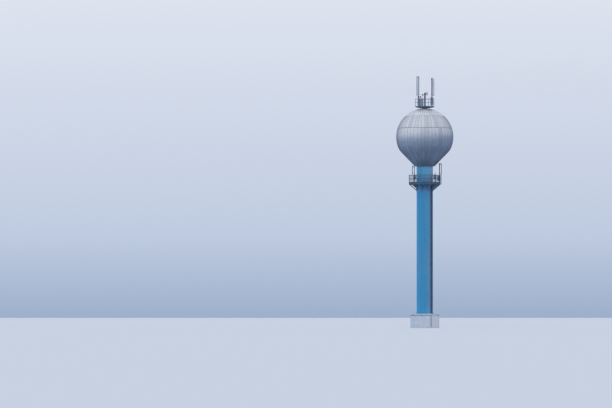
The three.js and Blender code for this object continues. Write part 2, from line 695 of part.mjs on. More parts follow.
buildChamber();
buildShaft();
buildCableLadder();
buildBalconyFrame();
buildBalconyRailing();
buildTank();
buildHatch();
buildPlatform();
buildAerials();
buildEquipment();
buildMast();
buildLamps();

export default tower;
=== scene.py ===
import math

import bpy
from mathutils import Matrix, Vector


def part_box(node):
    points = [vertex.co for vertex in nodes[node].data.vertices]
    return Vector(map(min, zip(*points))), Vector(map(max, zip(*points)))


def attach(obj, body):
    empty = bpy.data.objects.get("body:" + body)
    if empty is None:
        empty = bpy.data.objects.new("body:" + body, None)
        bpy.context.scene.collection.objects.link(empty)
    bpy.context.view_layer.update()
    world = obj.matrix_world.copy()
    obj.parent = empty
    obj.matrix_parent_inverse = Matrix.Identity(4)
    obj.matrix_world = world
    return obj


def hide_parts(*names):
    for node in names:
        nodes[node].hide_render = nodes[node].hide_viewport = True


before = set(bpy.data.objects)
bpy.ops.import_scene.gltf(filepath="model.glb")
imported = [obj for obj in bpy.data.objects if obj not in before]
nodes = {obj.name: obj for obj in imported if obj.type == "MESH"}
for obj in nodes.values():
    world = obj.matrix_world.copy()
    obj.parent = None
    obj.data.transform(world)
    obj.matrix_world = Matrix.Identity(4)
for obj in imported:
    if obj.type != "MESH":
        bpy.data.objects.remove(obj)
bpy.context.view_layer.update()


# The valve chamber's walls and floor are cast concrete, rendered with sand and cement and limewashed.
# Damp rises from the ground, rain has run down from the slab, and the wash has worn off in patches.
# Limewash is chalky and quite matt, and the render's grain breaks up its light.
def linear(hex_code):
    """An sRGB hex colour as linear red, green, blue and alpha."""
    shares = [int(hex_code[i:i + 2], 16) / 255 for i in (0, 2, 4)]
    return tuple(s / 12.92 if s <= 0.04045 else ((s + 0.055) / 1.055) ** 2.4 for s in shares) + (1.0,)


def add_node(owner, kind, inputs=None, out=0, stops=(), **settings):
    """Adds a shader node with its settings, sets or links its inputs, and gives one of its outputs.

    Colours are given by their hex codes.
    """
    made = owner.node_tree.nodes.new("ShaderNode" + kind)
    for name, value in settings.items():
        setattr(made, name, value)
    for name, value in (inputs or {}).items():
        if isinstance(value, bpy.types.NodeSocket):
            owner.node_tree.links.new(value, made.inputs[name])
        else:
            made.inputs[name].default_value = linear(value) if isinstance(value, str) else value
    for index, (position, hex_code) in enumerate(stops):
        ramp = made.color_ramp.elements
        element = ramp[index] if index < 2 else ramp.new(position)
        element.position = position
        element.color = linear(hex_code)
    return made.outputs[out] if made.outputs else made


def start_finish(name):
    """A new finish that has no shader yet, and the place on the object in metres."""
    finish = bpy.data.materials.new(name)
    finish.use_nodes = True
    finish.node_tree.nodes.clear()
    return finish, add_node(finish, "TexCoord", out="Object")


def complete(finish, sockets):
    """Gives a finish its shader, with sockets that are constant or follow a pattern."""
    add_node(finish, "OutputMaterial", {"Surface": add_node(finish, "BsdfPrincipled", sockets)})
    return finish


def weather_marks(finish, place, size_mm, drawn_down=1, detail=3.0, low=0.35, high=0.65):
    """Marks from 0 to 1, about size_mm across and drawn_down times as high."""
    across = 1000 / size_mm
    moved = add_node(finish, "Mapping", {"Vector": place, "Scale": (across, across, across / drawn_down)})
    marks = add_node(finish, "TexNoise", {"Vector": moved, "Scale": 1.0, "Detail": detail})
    return add_node(finish, "MapRange", {"Value": marks, "From Min": low, "From Max": high})


def stain(finish, base, marks, amount, colour):
    """Lays a stain's colour over a base where there are marks, up to the given amount."""
    share = add_node(finish, "Math", {0: marks, 1: amount}, operation="MULTIPLY")
    return add_node(finish, "Mix", {0: share, 6: base, 7: colour}, out=2, data_type="RGBA")


def limewash(name, worn, fresh, dirt, slab_shadow_amount):
    """Limewashed cement render: worn patches, rain runs, damp at the foot, and a painted shadow in a band
    under the slab.
    """
    finish, place = start_finish(name)
    base = stain(finish, worn, weather_marks(finish, place, 550), 1.0, fresh)
    rain_runs = weather_marks(finish, place, 110, 14, low=0.5, high=0.8)
    base = stain(finish, base, rain_runs, dirt, "a3b0bd")
    height = add_node(finish, "SeparateXYZ", {0: place}, out=2)
    waver = weather_marks(finish, place, 300)
    damp_height = add_node(finish, "Math", {0: waver, 1: -0.3, 2: height}, operation="MULTIPLY_ADD")
    damp = add_node(finish, "MapRange", {"Value": damp_height, "From Min": 0.25, "From Max": -0.2})
    base = stain(finish, base, damp, 0.15, "8c98a6")
    # A band just under the slab is darkened: painted shadow of the slab's overhang
    under_slab_band = add_node(finish, "MapRange", {"Value": height, "From Min": 1.6, "From Max": 1.7})
    # Sand grains of 2 mm are drawn as 12 mm so that they show
    grain = weather_marks(finish, place, 12, detail=6, low=0.2, high=0.8)
    return complete(finish, {
        "Base Color": stain(finish, base, under_slab_band, slab_shadow_amount, "8c98a6"), "Roughness": 0.92,
        "Normal": add_node(finish, "Bump", {"Height": grain, "Distance": 0.0025}),
    })


worn_limewash = limewash("worn_limewashed_render", "e8f2fc", "fafdff", 0.25, 0.7)
for wall in ("floor", "front_wall", "left_wall", "back_wall"):
    nodes["chamber_" + wall].data.materials[0] = worn_limewash
# The right wall gets a whiter, cleaner copy of the limewash with no shadow under the slab: painted light for
# the wall that faces the light
lit_side_limewash = limewash("lit_side_limewashed_render", "fafdff", "fefeff", 0.05, 0.0)
nodes["chamber_right_wall"].data.materials[0] = lit_side_limewash


# The chamber's roof slab is a concrete plate cast in place, with arrises chamfered by the form and an old
# coat of limewash. Weathered concrete is matt and blotchy.
def turn_by(degrees):
    """A turn about the tower's axis."""
    return Matrix.Rotation(math.radians(degrees), 4, "Z")


def select_only(*pieces):
    """Selects only these pieces, if any, and makes the last one active."""
    bpy.ops.object.select_all(action="DESELECT")
    for piece in pieces:
        piece.select_set(True)
        bpy.context.view_layer.objects.active = piece


def start_piece(name, add_shape, **settings):
    """Adds a plain shape to make a piece from, with its place and turn applied to its mesh."""
    select_only()
    add_shape(**settings)
    piece = bpy.context.object
    piece.name = name
    bpy.ops.object.transform_apply(location=True, rotation=True, scale=True)
    return piece


def edit_all(change, **settings):
    """Makes one change to the whole mesh of the piece at hand."""
    bpy.ops.object.mode_set(mode="EDIT")
    bpy.ops.mesh.select_all(action="SELECT")
    change(**settings)
    bpy.ops.object.mode_set(mode="OBJECT")


def edged_block(name, low, high, edge, turned=None):
    """A block between two corners, with all its edges bevelled, then turned into place."""
    block = start_piece(name, bpy.ops.mesh.primitive_cube_add, size=1)
    middle = [(a + b) / 2 for a, b in zip(low, high)]
    size = [b - a for a, b in zip(low, high)]
    block.data.transform(Matrix.Translation(middle) @ Matrix.Diagonal(size + [1]))
    edit_all(bpy.ops.mesh.bevel, offset=edge, segments=1, affect="EDGES")
    if turned is not None:
        block.data.transform(turned)
    return block


def apply_modifier(piece, kind, **settings):
    """Changes a piece by a modifier with its settings."""
    select_only(piece)
    modifier = piece.modifiers.new(kind.lower(), kind)
    for name, value in settings.items():
        setattr(modifier, name, value)
    bpy.ops.object.modifier_apply(modifier=modifier.name)


def trim(piece, cutter, operation="DIFFERENCE"):
    """Cuts the cutter's shape out of a piece, or keeps only what both share, and removes the cutter."""
    apply_modifier(piece, "BOOLEAN", operation=operation, object=cutter)
    bpy.data.objects.remove(cutter)


def cut_hole(piece, radius, z, depth):
    """Cuts a round hole about the tower's axis."""
    trim(piece, start_piece(
        "hole", bpy.ops.mesh.primitive_cylinder_add, vertices=96, radius=radius, depth=depth,
        location=(0, 0, z),
    ))


def fit(piece, finish, slot, *stands_for, smooth=30):
    """Gives a piece its finish, fixes it to the tower and hides the CAD nodes that it stands for.

    Edges that turn by less than the smooth angle in degrees are shaded round.
    """
    piece.data.materials.clear()
    piece.data.materials.append(finish)
    select_only(piece)
    bpy.ops.object.shade_smooth_by_angle(angle=math.radians(smooth))
    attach(piece, "root")
    if stands_for:
        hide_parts(*stands_for)


CHAMBER_TURN = turn_by(-21.4)
slab_concrete, place = start_finish("limewashed_cast_concrete")
blotches = weather_marks(slab_concrete, place, 250, detail=5)
grain = weather_marks(slab_concrete, place, 20, detail=5, low=0.2, high=0.8)
complete(slab_concrete, {
    "Base Color": stain(slab_concrete, "d2dae2", blotches, 1.0, "f0f4f7"), "Roughness": 0.9,
    "Normal": add_node(slab_concrete, "Bump", {"Height": grain, "Distance": 0.003}),
})
slab = edged_block("roof_slab_cast", (-1.575, -1.575, 1.75), (1.575, 1.575, 1.95), 0.018, CHAMBER_TURN)
cut_hole(slab, 0.9, 1.85, 0.6)
fit(slab, slab_concrete, "slab_concrete", "chamber_roof_slab")


# The chamber door is a framed steel sheet with two pressed panels, on three hinges, in the blue gloss
# paint of the shaft. Old alkyd gloss has gone dull and chalky, with streaks from the rain.
def join_parts(name, parts, turned=None):
    """Joins parts into one piece, then turns it into place."""
    select_only(*parts[::-1])
    bpy.ops.object.join()
    parts[0].name = name
    if turned is not None:
        parts[0].data.transform(turned)
    return parts[0]


def choose(piece, kind, wanted):
    """Goes to edit mode with only the wanted faces or corners selected."""
    bpy.ops.object.mode_set(mode="EDIT")
    bpy.ops.mesh.select_mode(type=kind)
    bpy.ops.mesh.select_all(action="DESELECT")
    bpy.ops.object.mode_set(mode="OBJECT")
    for element in piece.data.polygons if kind == "FACE" else piece.data.vertices:
        element.select = wanted(element)
    bpy.ops.object.mode_set(mode="EDIT")


def round_bar(name, start, end, radius, sides=24, edge=0.002):
    """A round bar between two points, with the edges of its ends bevelled."""
    run = Vector(end) - Vector(start)
    bar = start_piece(
        name, bpy.ops.mesh.primitive_cylinder_add, vertices=sides, radius=radius, depth=run.length,
        location=(Vector(start) + Vector(end)) / 2, rotation=run.to_track_quat("Z", "Y").to_euler(),
    )
    direction = run.normalized()
    choose(bar, "FACE", lambda face: abs(face.normal.dot(direction)) > 0.9)
    bpy.ops.mesh.bevel(offset=min(edge, radius / 3), segments=1, affect="EDGES")
    bpy.ops.object.mode_set(mode="OBJECT")
    return bar


def blue_gloss(name, main, bleached_and_shaded, bleach_and_shade_from, bleach_and_shade_to):
    """Blue alkyd gloss on steel, streaked by rain and greyer towards +X: partly weather bleaching, partly
    painted shading of the side turned from the light.
    """
    finish, place = start_finish(name)
    # Towards +X the colour turns paler and greyer: partly weather bleaching, partly painted shading of the
    # side turned from the light
    across = add_node(finish, "SeparateXYZ", {0: place})
    waver = weather_marks(finish, place, 1600)
    wavering = add_node(finish, "Math", {0: waver, 1: 0.3, 2: across}, operation="MULTIPLY_ADD")
    bleach_and_shade = add_node(finish, "MapRange", {"Value": wavering, "From Min": bleach_and_shade_from, "From Max": bleach_and_shade_to})
    base = stain(finish, main, bleach_and_shade, 1.0, bleached_and_shaded)
    pale_runs = weather_marks(finish, place, 90, 60, low=0.45, high=0.8)
    base = stain(finish, base, pale_runs, 0.2, "bcd8e8")
    dirty_runs = weather_marks(finish, place, 140, 40, low=0.52, high=0.85)
    chalk = weather_marks(finish, place, 700, detail=5)
    # Rolled plate waves over about 400 mm
    waves = weather_marks(finish, place, 400, 2, detail=1)
    return complete(finish, {
        "Base Color": stain(finish, base, dirty_runs, 0.3, "2a6a98"),
        "Roughness": add_node(finish, "MapRange", {"Value": chalk, "To Min": 0.42, "To Max": 0.62}),
        "Normal": add_node(finish, "Bump", {"Height": waves, "Distance": 0.004}),
    })


DOOR_HALF = 0.3997
DOOR_FACE = 1.4645
DOOR_LOW = 0.1503
DOOR_HIGH = 1.6497
FRAME = 0.035
door_gloss = blue_gloss("chalked_blue_door_gloss", "4a9cc6", "6ea4c2", -0.5, 1.5)
leaf_high = (DOOR_HALF, DOOR_FACE, DOOR_HIGH)
leaf = edged_block("chamber_door_leaf", (-DOOR_HALF, 1.4203, DOOR_LOW), leaf_high, 0.003)
edit_all(bpy.ops.mesh.bisect, plane_co=(0, 0, 0.85), plane_no=(0, 0, 1))
choose(leaf, "FACE", lambda face: face.normal.y > 0.99)
bpy.ops.mesh.inset(thickness=0.09, use_individual=True)
bpy.ops.mesh.inset(thickness=0.012, depth=-0.01, use_individual=True)
bpy.ops.object.mode_set(mode="OBJECT")
door_parts = [
    leaf, edged_block("lock_plate", (-0.36, 1.4640, 0.82), (-0.31, 1.4700, 1.0), 0.002),
    round_bar("handle_pin", (-0.335, 1.465, 0.95), (-0.335, 1.515, 0.95), 0.009),
    round_bar("handle", (-0.345, 1.513, 0.95), (-0.225, 1.513, 0.95), 0.009),
]
for z in (0.4, 0.9, 1.4):
    door_parts.append(round_bar("hinge", (0.385, 1.4745, z - 0.06), (0.385, 1.4745, z + 0.06), 0.011))
for x_low, x_high, z_low in (
    (-DOOR_HALF, FRAME - DOOR_HALF, DOOR_LOW), (DOOR_HALF - FRAME, DOOR_HALF, DOOR_LOW),
    (FRAME - DOOR_HALF, DOOR_HALF - FRAME, DOOR_HIGH - FRAME),
):
    frame_high = (x_high, DOOR_FACE + FRAME, DOOR_HIGH)
    door_parts.append(edged_block("door_frame", (x_low, DOOR_FACE, z_low), frame_high, 0.002))
fit(join_parts("chamber_door_dressed", door_parts, CHAMBER_TURN), door_gloss, "door_paint", "chamber_door")


# The base flange is a rolled steel ring on the slab, held by 24 foundation bolts between gusset plates.
# It is painted with the shaft, and its galvanised bolts carry spots of rust.
def drawn_line(name, outline, closed=False, y=0.0):
    """A line of edges through (x, z) points, left all selected in edit mode."""
    points = [Vector((x, y, z)) for x, z in outline]
    line = start_piece(name, bpy.ops.mesh.primitive_plane_add, size=0.01)
    bpy.ops.object.mode_set(mode="EDIT")
    bpy.ops.mesh.select_mode(type="VERT")
    bpy.ops.mesh.merge(type="CENTER")
    bpy.ops.transform.translate(value=points[0])
    for here, there in zip(points, points[1:] + (points[:1] if closed else [])):
        bpy.ops.mesh.extrude_vertices_move(TRANSFORM_OT_translate={"value": there - here})
    bpy.ops.mesh.select_all(action="SELECT")
    return line


def turned_piece(name, outline, steps=96, closed=True):
    """A section of (radius, height) points, turned about the tower's axis and closed."""
    piece = drawn_line(name, outline, closed)
    bpy.ops.mesh.spin(steps=steps, angle=math.tau, center=(0, 0, 0), axis=(0, 0, 1))
    bpy.ops.mesh.select_all(action="SELECT")
    bpy.ops.mesh.remove_doubles(threshold=0.00002)
    bpy.ops.mesh.normals_make_consistent(inside=False)
    bpy.ops.object.mode_set(mode="OBJECT")
    return piece


def repeat_part(name, part, places, turned=None):
    """Copies a part to each place, each copy with its own mesh, joins the copies and turns them."""
    copies = []
    for place in places:
        copy = bpy.data.objects.new(name, part.data.copy())
        bpy.context.collection.objects.link(copy)
        copy.data.transform(place)
        copies.append(copy)
    bpy.data.objects.remove(part)
    return join_parts(name, copies, turned)


def around(count, first=0.0):
    """Turns about the tower's axis, evenly spaced, from the first angle in degrees."""
    return [turn_by(first + 360 * k / count) for k in range(count)]


def bolt(name, foot, size, direction=(0, 0, 1)):
    """A hexagon nut on a washer with its bolt end, standing on a foot point."""
    foot, up = Vector(foot), Vector(direction).normalized()
    return join_parts(name, [
        round_bar("washer", foot, foot + up * size * 0.16, size * 1.05, 16, 0.001),
        round_bar("nut", foot + up * size * 0.16, foot + up * size * 0.96, size * 0.88, 6, size * 0.08),
        round_bar("bolt_end", foot + up * size * 0.9, foot + up * size * 1.5, size * 0.5, 12, size * 0.08),
    ])


def mottled(name, sockets, main, other, amount, size_mm, drawn_down=1, **limits):
    """A finish whose main colour turns to another, up to an amount, in marks of about size_mm."""
    finish, place = start_finish(name)
    marks = weather_marks(finish, place, size_mm, drawn_down, **limits)
    return complete(finish, {"Base Color": stain(finish, main, marks, amount, other), **sockets})


shaft_gloss = blue_gloss("chalked_blue_shaft_gloss", "3cacde", "84b2d2", 0.05, 1.1)
flange = turned_piece("base_flange_ring", [
    (1.0, 1.95), (1.257, 1.95), (1.26, 1.953), (1.26, 1.977), (1.257, 1.98), (1.0, 1.98),
])
fit(flange, shaft_gloss, "flange_paint", "base_flange")
gusset = edged_block("flange_gussets", (1.121, -0.006, 1.9802), (1.235, 0.006, 2.11), 0.0015)
edit_all(
    bpy.ops.mesh.bisect, plane_co=(1.235, 0, 2.0), plane_no=(0.76, 0, 0.65), clear_outer=True, use_fill=True,
)
fit(repeat_part("flange_gussets", gusset, around(24, 7.5)), shaft_gloss, "flange_paint")
rusty_bolts = mottled(
    "galvanised_bolts_with_rust", {"Metallic": 0.6, "Roughness": 0.55}, "7c848c", "6e4c3a", 0.8, 25, detail=5,
)
foundation_bolts = repeat_part("foundation_bolts", bolt("nut", (1.192, 0, 1.9802), 0.024), around(24))
fit(foundation_bolts, rusty_bolts, "flange_paint")


# The shaft is a tube of rolled 12 mm plates, about 2 m to a course, welded all round and once upright in
# each course. Its blue alkyd gloss is streaked by rain and greyer towards +X: partly weather bleaching,
# partly painted shading of the side turned from the light.
SHAFT_RADIUS = 1.12
SHAFT_BORE = 1.108
WELD_PROFILE = ((-0.012, 0), (-0.004, 0.003), (0.004, 0.003), (0.012, 0))


def plate_courses(bottom, top, courses):
    """The outside of a length of shaft, with a weld bead between its courses."""
    outline = [(SHAFT_BORE, bottom), (SHAFT_RADIUS, bottom)]
    for k in range(1, courses):
        weld = bottom + (top - bottom) * k / courses
        outline += [(SHAFT_RADIUS + proud, weld + rise) for rise, proud in WELD_PROFILE]
    return outline + [(SHAFT_RADIUS, top), (SHAFT_BORE, top)]


COURSES = 3
upright_welds = []
for number, (node, bottom, top) in enumerate(
    (("shaft_lower", 1.98, 7.9), ("shaft_middle", 7.9, 13.85), ("shaft_upper", 13.85, 19.8))
):
    length = turned_piece(node + "_plates", plate_courses(bottom, top, COURSES))
    # A small angle keeps the weld beads from shading the whole plate
    fit(length, shaft_gloss, "shaft_paint", node, smooth=10)
    for k in range(COURSES):
        low, high = (bottom + (top - bottom) * course / COURSES for course in (k, k + 1))
        turn = turn_by(-110 + 80 * ((number + k) % 2))
        weld = edged_block("upright_weld", (1.1175, -0.008, low), (1.1225, 0.008, high), 0.0015, turn)
        upright_welds.append(weld)
fit(join_parts("shaft_upright_welds", upright_welds), shaft_gloss, "shaft_paint")


# The neck between the balcony and the tank is the shaft's last course, with a doorway at the back.
# The same gloss paint has gone a little paler and greener here, under the shelter of the tank.
neck_gloss = blue_gloss("sheltered_blue_neck_gloss", "60c0ea", "a4cee6", -0.3, 1.5)
neck = turned_piece("shaft_neck_plates", plate_courses(19.8, 22.15, 1))
trim(neck, edged_block("doorway", (-0.325, 0.84, 19.95), (0.325, 1.4, 21.75), 0.01))
fit(neck, neck_gloss, "neck_paint", "shaft_neck")
leaf = turned_piece("balcony_door_leaf", [
    (SHAFT_BORE, 19.9), (SHAFT_RADIUS - 0.001, 19.9), (SHAFT_RADIUS - 0.001, 21.8), (SHAFT_BORE, 21.8),
], 192)
trim(leaf, edged_block("leaf_outline", (-0.3247, 0.84, 19.9503), (0.3247, 1.4, 21.7497), 0.01), "INTERSECT")
door_parts = [
    leaf, round_bar("handle_pin", (-0.25, 1.08, 20.9), (-0.25, 1.14, 20.9), 0.01),
    round_bar("handle", (-0.26, 1.138, 20.9), (-0.13, 1.148, 20.9), 0.01),
]
for z in (20.3, 21.4):
    door_parts.append(round_bar("hinge", (0.345, 1.083, z - 0.07), (0.345, 1.083, z + 0.07), 0.014))
fit(join_parts("balcony_door_dressed", door_parts), door_gloss, "door_paint", "balcony_door")


# The cable ladder up the shaft is hot-dip galvanised steel, bolted to welded standoffs.
# Old zinc is dull grey with faint spangles, and darkens where dirt from the cables has run over it.
def dull_zinc(name, light, dark):
    """Weathered hot-dip galvanising, its 20 mm spangles drawn as 40 mm so that they show."""
    finish, place = start_finish(name)
    spangle = add_node(finish, "TexVoronoi", {"Vector": place, "Scale": 25.0}, out="Color")
    tone = add_node(finish, "SeparateColor", {0: spangle})
    base = stain(finish, light, tone, 0.6, dark)
    dirt_runs = weather_marks(finish, place, 80, 6, low=0.5, high=0.8)
    return complete(finish, {
        "Base Color": stain(finish, base, dirt_runs, 0.4, dark), "Metallic": 0.75,
        "Roughness": add_node(finish, "MapRange", {"Value": tone, "To Min": 0.48, "To Max": 0.62}),
    })


LADDER_TURN = turn_by(-40)
STANDOFF_PITCH = 3.3
ladder_zinc = dull_zinc("dull_galvanised_ladder", "90a9ca", "6885aa")
nodes["cable_ladder"].data.materials[0] = ladder_zinc
ladder_bolts = [
    bolt("ladder_bolt", (1.205, side * 0.16, 2.4203 + STANDOFF_PITCH * k), 0.012, (0, side, 0))
    for k in range(6) for side in (-1, 1)
]
fit(join_parts("ladder_fixings", ladder_bolts, LADDER_TURN), rusty_bolts, "ladder_steel")


# Seven feeder cables with black polyethylene sheaths run up the ladder side by side, held at every second
# rung by a clamping bar. The weathered sheath has a low sheen, and its black is drawn as a streaky blue grey:
# painted sky reflection and haze.
sheath_and_sky_reflection = mottled(
    "black_polyethylene_sheath", {"Roughness": 0.5}, "3e5878", "6c86a8", 0.5, 60, 10, low=0.4, high=0.8,
)
CABLE_OUT = 1.2338
CABLE_PITCH = 0.0304
CLAMP_PITCH = 1.2
cable = round_bar("cable", (CABLE_OUT, 0, 1.9805), (CABLE_OUT, 0, 19.7595), 0.0149, 16, 0.002)
cable_places = [Matrix.Translation((0, CABLE_PITCH * k, 0)) for k in range(-3, 4)]
cables = repeat_part("feeder_cable_run", cable, cable_places, LADDER_TURN)
fit(cables, sheath_and_sky_reflection, "cable_sheath", "feeder_cables")
clamp = join_parts("cable_clamp", [
    edged_block("clamp_bar", (1.249, -0.125, 2.16), (1.261, 0.125, 2.20), 0.003),
    bolt("clamp_bolt", (1.261, -0.115, 2.18), 0.007, (1, 0, 0)),
    bolt("clamp_bolt", (1.261, 0.115, 2.18), 0.007, (1, 0, 0)),
])
clamp_places = [Matrix.Translation((0, 0, CLAMP_PITCH * k)) for k in range(15)]
fit(repeat_part("cable_clamps", clamp, clamp_places, LADDER_TURN), ladder_zinc, "ladder_steel")


# A steel angle guards the chamber's front corner below the cable run. It is galvanised, dull and dirty, and
# pinned through into the render.
CORNER = 1.525
angle_parts = [
    edged_block("front_leg", (CORNER - 0.06, -CORNER - 0.004, 0.16), (CORNER + 0.004, -CORNER, 1.72), 0.001),
    edged_block("side_leg", (CORNER, -CORNER, 0.16), (CORNER + 0.004, -CORNER + 0.06, 1.72), 0.001),
]
for z in (0.3, 0.65, 1.0, 1.35, 1.65):
    pin_head = Vector((CORNER - 0.03, -CORNER - 0.007, z))
    angle_parts.append(round_bar("pin", pin_head, pin_head + Vector((0, 0.007, 0)), 0.009, 12))
angle_zinc = dull_zinc("dirty_galvanised_angle", "7f8b9a", "5c6876")
fit(join_parts("chamber_corner_angle", angle_parts, CHAMBER_TURN), angle_zinc, "ladder_steel")


# The cable box under the balcony is a folded sheet steel cabinet with a hung lid on its outer side and a
# row of cable glands below. Its blue grey enamel is dull, with small rust spots.
def dull_frame_paint(name, main, worn, rust=0.3, painted_light_below=None):
    """Dark alkyd paint on steel, worn in patches and rusting in spots of about 60 mm, and drawn paler below a
    given height as painted light in the shade under things.
    """
    finish, place = start_finish(name)
    base = stain(finish, main, weather_marks(finish, place, 200), 1.0, worn)
    # Below the given height the colour turns pale grey blue: painted light that lifts the shade under the
    # deck
    if painted_light_below is not None:
        height = add_node(finish, "SeparateXYZ", {0: place}, out=2)
        under_beam_lightening = add_node(finish, "MapRange", {
            "Value": height, "From Min": painted_light_below, "From Max": painted_light_below - 0.05,
        })
        base = stain(finish, base, under_beam_lightening, 1.0, "9db0c4")
    rusting = weather_marks(finish, place, 60, 3, detail=6, low=0.6, high=0.72)
    lumps = weather_marks(finish, place, 30, detail=4)
    return complete(finish, {
        "Base Color": stain(finish, base, rusting, rust, "6b4634"), "Roughness": 0.58,
        "Normal": add_node(finish, "Bump", {"Height": lumps, "Distance": 0.0012}),
    })


lid = edged_block("box_lid", (1.49, -0.365, 19.10), (1.4995, 0.365, 19.745), 0.003)
choose(lid, "FACE", lambda face: face.normal.x > 0.99)
bpy.ops.mesh.inset(thickness=0.045)
bpy.ops.mesh.inset(thickness=0.006, depth=-0.003)
bpy.ops.object.mode_set(mode="OBJECT")
box_parts = [edged_block("box_body", (1.16, -0.38, 19.0797), (1.49, 0.38, 19.7597), 0.006), lid]
for z in (19.185, 19.585):
    box_parts.append(round_bar("lid_hinge", (1.489, -0.372, z), (1.489, -0.372, z + 0.07), 0.007, 12))
for y in (-0.30, -0.20, -0.10, 0.0, 0.10, 0.20, 0.30):
    box_parts.append(round_bar("gland", (1.33, y, 19.045), (1.33, y, 19.082), 0.024, 12, 0.004))
box_enamel = dull_frame_paint("dull_grey_box_enamel", "71869e", "8397ac")
fit(join_parts("cable_box_dressed", box_parts), box_enamel, "box_steel", "cable_box")


# The balcony's frame is welded from plate brackets, two bands round the shaft and an edge beam, bolted
# together at the brackets. Its slate paint is dull and rusts in spots, and below the edge beam it is drawn
# in a pale grey blue: painted light that lifts the shade under the deck.
frame_paint = dull_frame_paint("dull_slate_frame_paint", "4c6a86", "5e7a94", painted_light_below=19.61)
nodes["balcony_frame"].data.materials[0] = frame_paint
bracket_places = around(8, 22.5)
bracket_bolts = [
    bolt("bracket_bolt", (radius, side * 0.030, 19.70), 0.013, (0, side, 0))
    for radius in (1.30, 1.75, 2.15) for side in (-1, 1)
]
bracket_bolts = repeat_part("balcony_frame_bolts", join_parts("bracket_bolt", bracket_bolts), bracket_places)
fit(bracket_bolts, rusty_bolts, "frame_steel")
# The two brackets beside the cable box have their slots closed by a sheet welded in
SLOT_CORNERS = ((1.295, 18.9385), (2.1594, 19.63), (1.9033, 19.63), (1.295, 19.1434))
slot_sheet = drawn_line("slot_sheet", SLOT_CORNERS)
bpy.ops.mesh.edge_face_add()
bpy.ops.object.mode_set(mode="OBJECT")
apply_modifier(slot_sheet, "SOLIDIFY", thickness=0.006, offset=0)
edit_all(bpy.ops.mesh.normals_make_consistent, inside=False)
slot_sheets = repeat_part("bracket_slot_sheets", slot_sheet, [bracket_places[0], bracket_places[7]])
fit(slot_sheets, frame_paint, "frame_steel")


# The balcony's deck is chequered steel plate with raised studs, welded on flat bearers and banded at the
# edge and round the hole. Its paint is like the frame's, worn paler in patches.
DECK_REACH = 2.17
DECK_HOLE = 1.16
DECK_TOP = 19.8
DECK_BOTTOM = DECK_TOP - 0.04
PLATE_BOTTOM = DECK_TOP - 0.0095
STUD_PITCH = 0.08
EIGHTH = math.pi / 8


def eight_sided_plate(name, apothem, low, high, hole):
    """A plate with eight bevelled sides and a round hole."""
    plate = start_piece(
        name, bpy.ops.mesh.primitive_cylinder_add, vertices=8, radius=apothem / math.cos(EIGHTH),
        depth=high - low, location=(0, 0, (low + high) / 2), rotation=(0, 0, EIGHTH),
    )
    choose(plate, "FACE", lambda face: abs(face.normal.z) > 0.9)
    bpy.ops.mesh.bevel(offset=0.0015, segments=1, affect="EDGES")
    bpy.ops.object.mode_set(mode="OBJECT")
    cut_hole(plate, hole, low, 0.5)
    return plate


def inside_deck(x, y, margin):
    """Whether a point of the deck is at least a margin from its edge and its hole."""
    reach = max(abs(x), abs(y), (abs(x) + abs(y)) * math.sqrt(0.5))
    return reach < DECK_REACH - margin and math.hypot(x, y) > DECK_HOLE + margin


deck_paint = dull_frame_paint("worn_chequered_plate_paint", "4a6580", "74889a", rust=0.35)
bearer_low = (DECK_HOLE + 0.007, -0.004, DECK_TOP - 0.039)
bearer = edged_block("bearer", bearer_low, (DECK_REACH - 0.015, 0.004, DECK_TOP - 0.009), 0.001)
deck_parts = [
    eight_sided_plate("deck_plate", DECK_REACH, PLATE_BOTTOM, DECK_TOP - 0.0025, DECK_HOLE),
    eight_sided_plate("deck_band", DECK_REACH, DECK_BOTTOM, PLATE_BOTTOM, DECK_REACH - 0.02),
    turned_piece("hole_band", [
        (DECK_HOLE, DECK_BOTTOM), (DECK_HOLE + 0.008, DECK_BOTTOM),
        (DECK_HOLE + 0.008, DECK_TOP - 0.009), (DECK_HOLE, DECK_TOP - 0.009),
    ]),
    repeat_part("bearers", bearer, around(24, 7.5)),
]
fit(join_parts("balcony_deck_plates", deck_parts), deck_paint, "deck_steel", "balcony_deck")
# Studs 30 mm apart on real plate are drawn 80 mm apart and larger to match
stud = edged_block("stud", (-0.024, -0.006, DECK_TOP - 0.003), (0.024, 0.006, DECK_TOP), 0.0012)
stud_places = []
for row in range(-27, 28):
    for column in range(-27, 28):
        x, y = STUD_PITCH * row, STUD_PITCH * column
        if inside_deck(x, y, 0.04):
            slant = turn_by(45 if (row + column) % 2 else -45)
            stud_places.append(Matrix.Translation((x, y, 0)) @ slant)
fit(repeat_part("balcony_deck_studs", stud, stud_places), deck_paint, "deck_steel")


# The balcony railing is eight panels of square steel tube with a toe board and upright round bars, on
# foot plates bolted to the deck. The middle posts of its left and right sides are stouter. Its dark paint
# is worn in patches.
SEAT_GAP = 0.0002
RAIL_APOTHEM = 2.13
RAIL_CORNER = RAIL_APOTHEM / math.cos(EIGHTH) - 0.004
railing_paint = dull_frame_paint("worn_railing_paint", "485a6c", "5f7083", rust=0.35)
for k in range(1, 9):
    nodes["balcony_railing_%d" % k].data.materials[0] = railing_paint


def post_foot(x, z, half_length, half_width):
    """A post's foot plate on the X side, with its two bolts."""
    plate_high = (x + half_width, half_length, z + 0.008)
    return join_parts("post_foot", [
        edged_block("foot_plate", (x - half_width, -half_length, z), plate_high, 0.002),
        bolt("foot_bolt", (x, 0.016 - half_length, z + 0.008), 0.008),
        bolt("foot_bolt", (x, half_length - 0.016, z + 0.008), 0.008),
    ])


